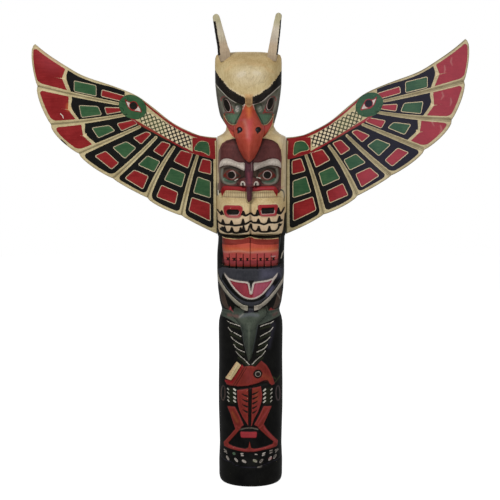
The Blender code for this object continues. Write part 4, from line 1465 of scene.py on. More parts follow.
    def spread(self) -> tuple[Array, Array]:
        """Ring heights and column places, spread evenly over the length of the carved outline.

        Returns:
            Heights, and for each ring the columns' places as shares -1 to 1 of its half-width.
        """
        z = np.minimum(np.arange(0.0, self.crown + 0.5, self.level_step), self.crown)
        share = np.linspace(-1.0, 1.0, self.samples)
        x = share[None, :] * self.station(self.CORE, z, 1)[:, None]
        deep = self.depth(x, np.repeat(z[:, None], self.samples, axis=1))
        slope = np.abs(np.gradient(deep, axis=0) / self.level_step).mean(axis=1)
        cost = self.station(self.FINENESS, z, 1) * (1.0 + 0.35 * np.minimum(slope, 4.0))
        run = np.concatenate([[0.0], np.cumsum(0.5 * (cost[1:] + cost[:-1]))])
        levels = np.interp(np.linspace(0.0, run[-1], self.rows), run, z)
        half = self.station(self.CORE, levels, 1)[:, None]
        x = share[None, :] * half
        deep = self.depth(x, np.repeat(levels[:, None], self.samples, axis=1))
        legs = np.hypot(np.diff(x, axis=1), 0.6 * np.diff(deep, axis=1))
        length = np.concatenate([np.zeros((self.rows, 1)), np.cumsum(legs, axis=1)], axis=1)
        length /= length[:, -1:]
        weights = np.exp(-0.5 * (np.arange(-self.window, self.window + 1) / 7.0) ** 2)
        padded = np.pad(length, ((self.window, self.window), (0, 0)), mode="edge")
        length = sum(w * padded[i:i + self.rows] for i, w in enumerate(weights)) / weights.sum()
        even = np.linspace(0.0, 1.0, self.front_columns)
        return levels, np.stack([np.interp(even, row, share) for row in length])

    def build(self, finish: "Finish") -> bpy.types.Object:
        """Make the trunk in place of its CAD node.

        Args:
            finish: the material to dress it in.

        Returns:
            The new object.
        """
        levels, places = self.spread()
        half = self.station(self.CORE, levels, 1)[:, None]
        z = np.repeat(levels[:, None], self.front_columns, axis=1)
        x = places * half
        y = -self.depth(x, z)
        y[:, [0, -1]] = 0.0
        front = np.stack([x + self.lean(z), y, z], axis=2)
        face = Face(front[:, :, 0], z)
        self._ground(face)
        for figure in (Foot(), Salmon(), Raven(), Claws(), Hands(), Visage(), Thunderbird()):
            figure.carve(face)
        for tint in (Tint.ROSE, Tint.AMBER, Tint.MOSS, Tint.MILK):
            face.tints[tint.name.lower() + "_tint"] *= smooth(face.coats[Coat.INK], -1.0, 2.0)
        ease = smooth(z, 2.0, 30.0) * smooth(self.crown - z, 2.0, 20.0) * smooth(half - np.abs(x), 0.0, 6.0)
        face.relief += 0.7 * ripple(face.x, z, 60.0, 5)
        front += normals(front) * (face.relief * ease)[:, :, None]

        turn = np.linspace(0.0, math.pi, self.back_columns + 2)[1:-1]
        z_back = np.repeat(levels[:, None], self.back_columns, axis=1)
        x_back = np.cos(turn)[None, :] * half
        top = 1.0 - 0.25 * smooth(z_back, 1640.0, self.crown)
        y_back = self.back_depth * top * arch(x_back, half, self.station(self.ROUND, z_back, 1))
        back = np.stack([x_back + self.lean(z_back), y_back, z_back], axis=2)
        behind = Face(back[:, :, 0], z_back)
        self._ground(behind)
        behind.lay(Coat.BLACK, area([(-150, 1440), (150, 1440), (150, 1562), (-150, 1562)]))

        points = np.concatenate([front, back], axis=1)
        fields = {}
        for coat in face.coats:
            rear = behind.coats.get(coat, np.full(z_back.shape, FAR))
            fields[coat.name.lower()] = np.concatenate([face.coats[coat], rear], axis=1)
        for name in face.tints:
            fields[name] = np.concatenate([face.tints[name], behind.tints[name]], axis=1)
        fields["hollow"] = hollows(points)
        return ring_mesh("trunk", to_frame(points, "pole", self.crown),
            fields, finish, "pole")

    @staticmethod
    def _ground(face: Face) -> None:
        """Black below the hands, bare wood above them."""
        face.lay(Coat.BLACK, area([(-150, -20), (150, -20), (150, 985), (-150, 985)]))


# ---- the wings ---------------------------------------------------------------------------------
class Side(Enum):
    """The viewer's left and right."""

    LEFT = -1
    RIGHT = 1


@dataclass
class Wing:
    """A scalloped board with seven painted feathers, an eye at the bend and a latticed arm."""

    side: Side
    raised: float
    # Share of painted glare over the outer board.
    painted_glare: float
    thickness: float = 24.0
    front_y: float = -12.0
    inner: float = 134.3
    lean: float = 3.0
    edge_radius: float = 4.0
    columns: int = 500
    rows: int = 150
    back_rows: int = 10
    shoulder: tuple[float, float] = (134.3, 1358.0)
    top: Points = ((176, 1362), (217, 1372), (301, 1413), (383, 1477), (445, 1520), (532, 1555), (641, 1592),
                   (711, 1631), (778, 1675), (825, 1712.5))
    notches: Points = ((134.3, 984), (272, 1056), (404, 1125),
        (536, 1200), (666, 1296), (772, 1408), (820, 1554), (832, 1707))
    bulges: tuple[float, ...] = (3.0, 9.0, 4.0, 11.0, 15.5, 12.5, 12.0)
    # Inner end of each groove, which starts at a notch, and how far it bows.
    roots: Points = ((209, 1287), (299, 1320), (368, 1358), (430, 1399), (479, 1446), (513, 1487))
    bows: tuple[float, ...] = (-4.0, -7.5, 3.0, 0.0, 5.0, 2.5)
    # Outer and inner ends of the middles of the first and the last feather, which have one groove each.
    first_middle: Points = ((203, 1020), (171.5, 1293.5))
    last_middle: Points = ((826.5, 1634), (479, 1503.5))
    strip: tuple[float, float] = (12.0, 6.0)
    border: float = 12.0
    # How round a black field's corners are at the notch, and how much less at the inner end.
    rounding: tuple[float, float] = (16.0, 10.0)
    # Depth and half-width of a groove at its notch, and how much of each is lost by its inner end.
    groove: tuple[float, float] = (5.0, 2.5)
    groove_half: tuple[float, float] = (6.0, 3.0)
    # Inner ends of the three red tips and starts of the black fields behind them.
    tips: tuple[Points, ...] = (((653, 1402), (647, 1364), (608, 1328)), ((700, 1506),
        (703, 1465), (664, 1414)), ((711, 1618), (724, 1583), (700, 1524)))
    fields: tuple[Points, ...] = (((640, 1402), (638, 1372), (598, 1334)),
        ((688, 1504), (690, 1470), (654, 1416)), ((702, 1612), (708, 1582), (687, 1520)))
    # Per feather from the body outward: stations along the upper and lower groove, and the two insets;
    # a last number is the upper inset at the inner end where it differs.
    panels: tuple[tuple[tuple[float, ...], ...], ...] = (
        ((51, 101, 21, 86, 25, 27), (123, 183, 111, 172, 27, 26), (207, 255, 201, 251, 23, 23)),
        ((26, 73, 26, 70, 33, 34), (98, 149, 97, 148, 34, 25), (179, 226, 174, 230, 30, 21)),
        ((20, 65, 28, 79, 31, 30), (93, 140, 108, 151, 27, 17), (171, 219, 175, 229, 29, 18)),
        ((20, 63, 45, 79, 34, 31), (96, 150, 111, 167, 32, 28), (183, 236, 194, 246, 30, 24)),
        ((114, 179, 127, 193, 30, 26), (212, 275, 220, 284, 28, 15)),
        ((136, 206, 146, 220, 37, 17, 26), (234, 300, 241, 306, 24, 16, 16)),
        ((161, 243, 174, 256, 34, 14, 20), (272, 374, 277, 372, 28, 17, 19)),
    )
    eye: tuple[float, float] = (456.0, 1474.0)

    def build(self, finish: "Finish") -> bpy.types.Object:
        """Make the board in place of its CAD node.

        Args:
            finish: the material to dress it in.

        Returns:
            The new object.
        """
        name = f"{self.side.name.lower()}_wing"
        top = curve((self.shoulder,) + tuple(self.top))
        foot = self._scallops()
        share = np.linspace(0.0, 1.0, self.columns)
        high, low = along(top, share)[:, None], along(foot, share)[:, None]
        span = np.linalg.norm(high - low, axis=2)
        near = np.minimum(np.array([0.0, 0.8, 2.0, 4.0])[None, :], 0.45 * span)
        even = np.linspace(0.0, 1.0, self.rows - 2 * near.shape[1])[None, :]
        gap = np.minimum(6.0, 0.48 * span)
        across = np.concatenate([near, gap + even * (span - 2.0 * gap), span - near[:, ::-1]], axis=1)
        flat = low + (high - low) * (across / np.maximum(span, 1e-6))[:, :, None]
        face = Face(flat[:, :, 0], flat[:, :, 1])
        self._paint(face, top, foot)
        border = np.minimum(across, span - across)
        tip = np.minimum(border, np.abs(face.x - self.inner))
        radius = np.minimum(self.edge_radius, 0.45 * span)
        drop = radius - np.sqrt(np.maximum(radius ** 2 - np.maximum(radius - tip, 0.0) ** 2, 0.0))
        ease = smooth(tip, 0.5, 6.0)
        ground = 0.5 * (ripple(face.x, face.z, 90.0, 7 + self.side.value) - 1.0)
        y_front = self.front_y + drop - np.minimum(face.relief + ground, 0.0) * ease
        half_back = np.linspace(1.0, 0.0, self.back_rows)[None, :]
        inset = np.minimum(2.0, 0.3 * span)
        back_across = inset + half_back * (span - 2.0 * inset)
        back = low + (high - low) * (back_across / np.maximum(span, 1e-6))[:, :, None]
        y_back = np.full(back.shape[:2], self.front_y + self.thickness)
        y_back[:, [0, -1]] -= 1.0
        flat = np.concatenate([flat, back], axis=1)
        y = np.concatenate([y_front, y_back], axis=1)
        x, z = self._place(flat[:, :, 0], flat[:, :, 1])
        points = np.stack([x, y, z], axis=2)
        fields = {}
        for coat, edge in face.coats.items():
            fields[coat.name.lower()] = np.concatenate([edge, np.full(y_back.shape, FAR)], axis=1)
        for key, tint in face.tints.items():
            fields[key] = np.concatenate([tint, np.zeros(y_back.shape)], axis=1)
        fields["hollow"] = hollows(points)
        return ring_mesh(name, points * MM, fields, finish, name)

    def _scallops(self) -> Array:
        """The lower edge from the body to the tip: chords that swell, quickest just above each notch.

        Returns:
            The path, as (x, z).
        """
        t = (np.arange(12) / 12.0)[:, None]
        path = []
        for start, end, bulge in zip(self.notches[:-1], self.notches[1:], self.bulges):
            a, b = np.array(start, float), np.array(end, float)
            out = np.array([(b - a)[1], -(b - a)[0]]) / np.hypot(*(b - a))
            u = 1.0 - t
            path.append(a + (b - a) * t + out * bulge * np.sin(math.pi * u ** 0.75) ** 0.7 * (t > 0))
        return np.vstack(path + [np.array(self.notches[-1], float)])

    def _grooves(self) -> list[Array]:
        """The six feather grooves, each a chord with a slight bow.

        Returns:
            One path for each groove.
        """
        t = np.linspace(0.0, 1.0, 9)[:, None]
        paths = []
        for start, end, bow in zip(self.notches[1:-1], self.roots, self.bows):
            a, b = np.array(start, float), np.array(end, float)
            normal = np.array([-(b - a)[1], (b - a)[0]]) / np.hypot(*(b - a))
            paths.append(a + (b - a) * t + normal * bow * 4.0 * t * (1.0 - t))
        return paths

    def _place(self, out: Array, up: Array) -> tuple[Array, Array]:
        """Turn drawing places about the shoulder, and put them on their side of the trunk.

        Args:
            out: drawing places away from the body.
            up: their heights.

        Returns:
            Places across the whole pole, and their heights.
        """
        across, rise = out - self.shoulder[0], up - self.shoulder[1]
        turn = math.radians(self.raised) * np.minimum(1.0, across / 100.0)
        x = self.side.value * (self.shoulder[0] + across * np.cos(turn) - rise * np.sin(turn)) + self.lean
        return x, self.shoulder[1] + rise * np.cos(turn) + across * np.sin(turn)

    def _paint(self, face: Face, top: Array, foot: Array) -> None:
        """Carve the grooves, then lay the black fields, the panels and the arm.

        Args:
            face: the surface.
            top: the upper edge.
            foot: the lower edge.
        """
        grooves = self._grooves()
        nearest_groove = np.full(face.x.shape, 1e6)
        passed = np.zeros(face.x.shape)
        for path in grooves:
            gap, place = nearest(path, face.x, face.z)
            passed = np.where(gap < nearest_groove, place, passed)
            nearest_groove = np.minimum(gap, nearest_groove)
        edge_gap = nearest(foot, face.x, face.z)[0]
        top_gap = nearest(top, face.x, face.z)[0]
        strip = self.strip[0] + (self.strip[1] - self.strip[0]) * passed
        corner = self.rounding[0] - self.rounding[1] * passed
        rim = self.border - 6.5 * smooth(face.x + face.z, 2300.0, 2390.0)
        sides = np.stack([strip - nearest_groove, rim - edge_gap,
                          10.0 - 5.0 * smooth(600.0 - face.x, 0.0, 90.0) - top_gap,
                          self.inner + 13.0 - face.x]) + corner
        past = np.sqrt(np.sum(np.maximum(sides, 0.0) ** 2, axis=0))
        ground = past + np.minimum(sides.max(axis=0), 0.0) - corner

        def overlay(coat: Coat, gap: Array) -> None:
            """Lay a coat over the whole board from ready distances."""
            whole = Shape(lambda x, z: gap.reshape(-1), (-1e4, -1e4, 1e4, 1e4))
            face.lay(coat, whole)

        arm = area([(486, 1700), (486, 1500), (470, 1436), (457, 1430), (426, 1409), (259, 1317), (226, 1295),
                    (142, 1274), (120, 1274), (120, 1700)])
        outside_arm = -arm.distance(face.x, face.z)
        base = np.maximum(ground, outside_arm)
        cuts = []
        for tip, start, high, low in zip(self.tips, self.fields, self.notches[5:], self.notches[4:]):
            far_high, far_low = (high[0] + 40, high[1] + 60), (low[0] + 60, low[1] - 40)
            above = (start[0][0] + 1, start[0][1] + 16)
            cuts.append((area(list(tip) + [far_low, far_high, (tip[0][0] + 1, tip[0][1] + 16)]),
                         area(np.vstack([curve(start), [far_low, far_high, above]]))))
        black = base
        for _, start in cuts:
            black = np.maximum(black, -start.distance(face.x, face.z))
        overlay(Coat.BLACK, np.clip(black, -FAR, FAR))
        for tip, _ in cuts:
            red = np.maximum(np.maximum(ground, tip.distance(face.x, face.z)) + 1.5, 2.0 - nearest_groove)
            overlay(Coat.RED, np.clip(red, -FAR, FAR))
        self._splits(face)
        self._feathers(face, grooves, top)
        self._arm(face)
        self._eye(face)

        half = self.groove_half[0] - self.groove_half[1] * passed
        cut = np.maximum(1.0 - nearest_groove / half, 0.0)
        face.relief -= (self.groove[0] - self.groove[1] * passed) * cut ** 1.2
        face.relief -= 1.2 * np.exp(-nearest_groove / 14.0) + 1.0 * np.exp(-edge_gap / 12.0)
        # Painted shade in the grooves and along the board's edges.
        groove_and_edge_shade = np.maximum(0.5 * smooth(3.0 - nearest_groove, -1.5, 2.0),
                          0.22 * smooth(5.0 - np.minimum(edge_gap, top_gap), -2.0, 3.0))
        face.tints["soil_tint"] = np.maximum(face.tints["soil_tint"], groove_and_edge_shade)
        # Painted glare over the outer board, and the red under it painted pinker.
        painted_glare = self.painted_glare * smooth(face.x, 230.0, 520.0)
        face.tints["bloom_tint"] = np.maximum(face.tints["bloom_tint"], painted_glare)
        shown = smooth(np.minimum(face.coats[Coat.INK], face.coats[Coat.BONE]), -1.0, 1.5)
        red = smooth(-face.coats[Coat.RED], -1.0, 1.5) * shown
        face.tints["rose_tint"] = np.maximum(face.tints["rose_tint"], 2.6 * painted_glare * red)

    def _splits(self, face: Face) -> None:
        """The cream point and hairline that split each red tip, and a chip or two.

        Args:
            face: the surface.
        """
        for (_, (x, z), _), length in zip(self.tips, (8, 32, 30)):
            face.lay(Coat.CREAM, area([(x - 12, z + 9), (x + 3, z + 1), (x - 12, z - 8)]))
            face.lay(Coat.CREAM, stroke([(x, z), (x + 12, z + 1), (x + length, z + 4)], 3.2, 1))
        if self.side is Side.LEFT:
            face.tint("rose", oval(770, 1660, 60, 40, 45), 0.16, 60)
            face.tint("amber", oval(703, 1474, 8, 16), 0.28, 12)
            face.lay(Coat.WHITE, stroke([(734, 1449), (726, 1441), (722, 1430)], 2.6, 1.6))
            face.lay(Coat.BLACK, stroke([(733, 1347), (714, 1331)], 7, 3))
        else:
            # Pale streaks on the right wing.
            for x, z, turn in ((745, 1600, 2), (772, 1628, -3), (735, 1500, 5),
                    (768, 1476, 2), (700, 1400, -4), (728, 1372, 4)):
                pale_streak = stroke([(x, z + 14), (x + turn, z), (x - turn, z - 14)], 4, 2, 3)
                face.tint("milk", pale_streak, 0.16, 6)
            face.lay(Coat.BLACK, stroke([(770, 1672), (778, 1676)], 4, 2),
                stroke([(800, 1694), (806, 1699)], 3))

    def _feathers(self, face: Face, grooves: list[Array], top: Array) -> None:
        """Two or three framed panels in each feather, red, green, red toward the body.

        Args:
            face: the surface.
            grooves: the six grooves.
            top: the upper edge.
        """
        inner = np.array([(self.inner, 984), (self.inner, 1300)])
        upper_edge = along(top[::-1], np.linspace(0, 0.62, 9))
        bounds = [inner] + grooves + [upper_edge]
        for lower, upper, panels in zip(bounds[:-1], bounds[1:], self.panels):
            outer, root = 0.5 * (lower[0] + upper[0]), 0.5 * (lower[-1] + upper[-1])
            if upper is upper_edge:
                outer, root = np.array(self.last_middle, float)
            if lower is inner:
                outer, root = np.array(self.first_middle, float)
            axis = (root - outer) / np.hypot(*(root - outer))
            side = np.array([-axis[1], axis[0]])
            side *= np.sign((upper[0] - outer) @ side)

            def corner(path: Array, station: float, inset: float, sign: float) -> Array:
                """The place at a station along the feather, set in from one of its grooves.

                Args:
                    path: the groove.
                    station: place along the feather.
                    inset: distance from the groove.
                    sign: 1 below the groove, -1 above it.

                Returns:
                    The corner, as (x, z).
                """
                run, off = (path - outer) @ axis, (path - outer) @ side
                order = np.argsort(run)
                slope = math.hypot(1, (off[-1] - off[0]) / (run[-1] - run[0]))
                away = np.interp(station, run[order], off[order]) - sign * inset * slope
                return outer + axis * station + side * away

            colours = (Coat.RED, Coat.GREEN, Coat.RED)[3 - len(panels):]
            for coat, (a0, a1, b0, b1, inset_up, inset_low, *ends) in zip(colours, panels):
                inset_end = ends[0] if ends else inset_up
                quad = [corner(upper, a0, inset_up, 1), corner(upper, a1, inset_end, 1),
                    corner(lower, b1, inset_low, -1), corner(lower, b0, inset_low, -1)]
                shape = panel(quad, 4.5)
                face.inlay(coat, shape, 2.1, 1)
                face.tint("milk", shape.grown(1).ring(1.6), 0.35, 1.6)

    def _arm(self, face: Face) -> None:
        """The latticed arm between red borders, and the block at the shoulder.

        Args:
            face: the surface.
        """
        face.lay(Coat.RED, stroke(curve([(470, 1442), (456, 1427),
            (426, 1408), (340, 1361), (259, 1316), (230, 1300)]), 9, 8))
        face.lay(Coat.RED, stroke(curve([(418, 1497), (401, 1482), (350, 1440),
            (301, 1405), (259, 1382), (217, 1364), (176, 1354), (140, 1350)]), 4, 9, 2))
        lattice = area([(422, 1468), (406, 1459), (384, 1447), (228, 1357), (233, 1319),
            (259, 1319), (330, 1358), (405, 1402), (424, 1416), (432, 1440)])
        face.mark(lattice, Coat.CREAM, lift=(-1, 3))
        face.tint("moss", lattice.within(slab(330, 1300, 440, 1500)), 0.22, 40)
        for angle, pitch in ((math.radians(-18), 14), (math.radians(72), 14)):
            c, s = math.cos(angle), math.sin(angle)
            bars = Shape(lambda x, z, c=c, s=s, pitch=pitch: np.abs(
                (((x - 300) * c + (z - 1380) * s) / pitch) % 1 - 0.5) * pitch - 1.9, lattice.box)
            face.lay(Coat.INK, bars.within(lattice.grown(-0.5)))
        face.tint("milk", lattice, 0.3, 3)
        face.tints["milk_tint"] *= smooth(face.coats[Coat.INK], -0.5, 1.5)
        block = panel([(228, 1357), (142, 1350), (139, 1273), (226, 1296)], 5)
        face.lay(Coat.RED, block)
        mitten = area(curve([(220, 1312), (212, 1330), (200, 1341), (182, 1342), (168, 1336),
            (163, 1314), (163, 1291), (178, 1298), (192, 1304), (206, 1306)], closed=True, steps=4))
        face.inlay(Coat.GREEN, mitten, 2.2, 0.8)

    def _eye(self, face: Face) -> None:
        """The green oval at the bend with a red almond and a black pupil.

        Args:
            face: the surface.
        """
        x, z = self.eye
        green = oval(x, z, 55, 44, 27)
        face.clean(green)
        face.lay(Coat.GREEN, green)
        face.lift(green.ring(3), -1, 3)
        almond = area(curve([(x + 29, z + 30), (x + 16, z + 21), (x - 6, z + 17), (x - 24, z + 4),
            (x - 34, z - 19), (x - 18, z - 17), (x + 4, z - 13), (x + 20, z + 2)], closed=True, steps=4))
        face.lay(Coat.RED, almond)
        face.lay(Coat.BONE, almond.grown(-3.4))
        face.lay(Coat.RED, oval(x - 3, z + 5, 17, 17))
        face.lay(Coat.INK, oval(x - 3, z + 5, 14, 14))


# ---- the horns ---------------------------------------------------------------------------------
@dataclass
class Horn:
    """A thin slat with a round top and its outer edge painted black, standing on the crown."""

    side: Side
    foot_x: float
    lean_out: float
    top: float
    # Height and half-width, from the foot up to where the round top starts.
    widths: Points
    edge: float
    foot: float = 1648.0
    drift: float = -8.0
    thickness: float = 14.0
    front_y: float = -72.0
    yaw: float = -20.0
    rows: int = 90
    columns: int = 64
    squareness: float = 0.35        # 1 is an oval slat, 0 a sharp oblong
    pivot: float = 1650.0           # height about which the slat leans

    def build(self, finish: "Finish") -> bpy.types.Object:
        """Make the slat in place of its CAD node: level rounded oblongs, shrunk to a round top.

        Args:
            finish: the material to dress it in.

        Returns:
            The new object.
        """
        name = f"{self.side.name.lower()}_horn"
        levels, halves = np.array(self.widths).T
        height = self.foot + (self.top - self.foot) * np.linspace(0.0, 1.0, self.rows)
        above = np.clip((height - levels[-1]) / (self.top - levels[-1] + 0.3), 0.0, 1.0)
        half = np.interp(height, levels, halves) * np.sqrt(1.0 - above ** 2)
        turn = np.linspace(0.0, math.tau, self.columns, endpoint=False)
        x_share, y_share = (np.sign(wave) * np.abs(wave) ** self.squareness
            for wave in (np.cos(turn), np.sin(turn)))
        z = np.repeat(height[:, None], self.columns, axis=1)
        nick = ripple(z, turn[None, :] * 3.0, 17.0, 21 + self.side.value)
        x = (half[:, None] - 0.7 + 0.3 * nick) * x_share[None, :]
        thin = 0.5 * self.thickness - 0.5 - 1.2 * smooth(z, 1700.0, self.top)
        y = thin * y_share[None, :] + 0.2 * nick
        sign = self.side.value
        foot = (MM * (sign * self.foot_x + self.drift),
            MM * (self.front_y + 0.5 * self.thickness), MM * self.pivot)
        place = (Matrix.Translation(foot)
            @ Matrix.Rotation(sign * math.radians(self.lean_out), 4, 'Y')
            @ Matrix.Rotation(sign * math.radians(self.yaw), 4, 'Z')
            @ Matrix.Translation((0.0, 0.0, -MM * self.pivot)))
        turned = np.stack([x, y, z], axis=2) * MM @ np.array(place.to_3x3()).T
        world = turned + np.array(place.to_translation())
        outward = sign * x
        edge = half[:, None] - self.edge - outward + 0.7 * ripple(z, z * 0.0, 12.0, 3)
        ends = np.maximum(1672.0 - z, z - self.top + 26.0)
        stain = smooth(1700.0 + 8.0 * nick - z, 0.0, 45.0)
        front = (y < 0.0) & (np.abs(x) < half[:, None] - 2.0)
        glare = smooth(z, 1700.0, 1730.0) * smooth(1786.0 - z, 0.0, 20.0) * front
        ink = np.maximum(edge, ends)
        bare = smooth(ink, 0.0, 2.0)
        fields = {"ink": ink, "hollow": hollows(world / MM),
                  "soil_tint": 0.25 * stain + 0.03, "moss_tint": 0.16 * smooth(z, 1765.0, 1800.0) * bare,
                  "bloom_tint": glare * bare * (0.30 if sign > 0 else 0.12),
                  "milk_tint": 0.2 * smooth(z, 1725.0, 1765.0) * smooth(1800.0 - z, 0.0, 20.0) * bare,
                  "rose_tint": 0.12 * smooth(1735.0 - z, 0.0, 30.0) * bare}
        return ring_mesh(name, world, fields, finish, name)


# ---- meshes ------------------------------------------------------------------------------------
def normals(grid: Array) -> Array:
    """Outward unit normals: the cross product of the grid's two directions."""
    normal = np.cross(np.gradient(grid, axis=1), np.gradient(grid, axis=0))
    return normal / np.maximum(np.linalg.norm(normal, axis=2, keepdims=True), 1e-9)


def hollows(points: Array) -> Array:
    """How sunk (positive) or proud (negative) a place is: the bend of the grid along its normal.

    Args:
        points: rings by points by 3.

    Returns:
        The bend at each point, -1 to 1.
    """
    step = 2
    normal = normals(points)
    ring = np.concatenate([points[:, -step:], points, points[:, :step]], axis=1)
    tall = np.concatenate([points[:1]] * step + [points] + [points[-1:]] * step, axis=0)
    bend = np.zeros(points.shape[:2])
    for ahead, behind in ((ring[:, 2 * step:], ring[:, :-2 * step]), (tall[2 * step:], tall[:-2 * step])):
        sag = np.sum((ahead + behind - 2.0 * points) * normal, axis=2)
        reach = np.linalg.norm(ahead - behind, axis=2)
        bend += 2.0 * sag / np.maximum(reach, 1.0)
    return np.clip(bend, -1.0, 1.0)


def to_frame(points: Array, node: str, height: float) -> Array:
    """Scale drawing millimetres to the height of a CAD node that stands on the origin."""
    low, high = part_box(node)
    return points * ((high.z - low.z) / height) + np.array([0.0, 0.0, low.z])


def ring_mesh(name: str, points: Array, fields: dict[str, Array],
        finish: "Finish", node: str) -> bpy.types.Object:
    """Close a stack of rings into one body, store its fields, give it its material, parent it to the root
    body and hide its CAD node.

    Args:
        name: name of the piece.
        points: rings by points by 3, in metres.
        fields: one number a point for each named field.
        finish: the material to dress it in.
        node: the CAD node that it stands for.

    Returns:
        The new object.
    """
    rings, around = points.shape[:2]
    index = np.arange(rings * around).reshape(rings, around)
    after = np.roll(index, -1, axis=1)
    quads = np.stack([index[:-1], after[:-1], after[1:], index[1:]], axis=2).reshape(-1, 4)
    mesh = bpy.data.meshes.new(name)
    mesh.from_pydata(points.reshape(-1, 3).tolist(), [],
        quads.tolist() + [index[0].tolist()[::-1], index[-1].tolist()])
    bm = bmesh.new()
    bm.from_mesh(mesh)
    bmesh.ops.recalc_face_normals(bm, faces=bm.faces)
    bm.to_mesh(mesh)
    bm.free()
    fields = {key: values for key, values in fields.items()
              if key == "hollow" or (values.max() > 0.0 if key.endswith("_tint") else values.min() < 2.0)}
    for key, values in fields.items():
        mesh.attributes.new(key, 'FLOAT', 'POINT').data.foreach_set("value",
            values.reshape(-1).astype(np.float32))
    mesh.shade_smooth()
    mesh.set_sharp_from_angle(angle=math.radians(65.0))
    piece = bpy.data.objects.new(name, mesh)
    bpy.context.collection.objects.link(piece)
    mesh.materials.append(finish.material(name, fields))
    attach(piece, "root")
    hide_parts(node)
    LOG.info("%s: %d points, %d faces", name, len(mesh.vertices), len(mesh.polygons))
    return piece


# ---- materials ---------------------------------------------------------------------------------
def linear(colour: str) -> tuple[float, float, float, float]:
    """An sRGB hex colour as linear RGBA."""
    parts = [int(colour[i:i + 2], 16) / 255.0 for i in (1, 3, 5)]
    return tuple(p / 12.92 if p <= 0.04045 else ((p + 0.055) / 1.055) ** 2.4 for p in parts) + (1.0,)


def add(tree: bpy.types.NodeTree, kind: str, settings: dict | None = None,
        inputs: dict | None = None) -> bpy.types.Node:
    """Add a node, set its properties, and give its inputs values or links from other sockets.

    Args:
        tree: the material's or the sky's tree.
        kind: type of node.
        settings: its properties.
        inputs: values or sockets by input.

    Returns:
        The node.
    """
    node = tree.nodes.new(kind)
    for key, value in (settings or {}).items():
        setattr(node, key, value)
    for key, value in (inputs or {}).items():
        if isinstance(value, Socket):
            tree.links.new(value, node.inputs[key])
        else:
            node.inputs[key].default_value = value
    return node


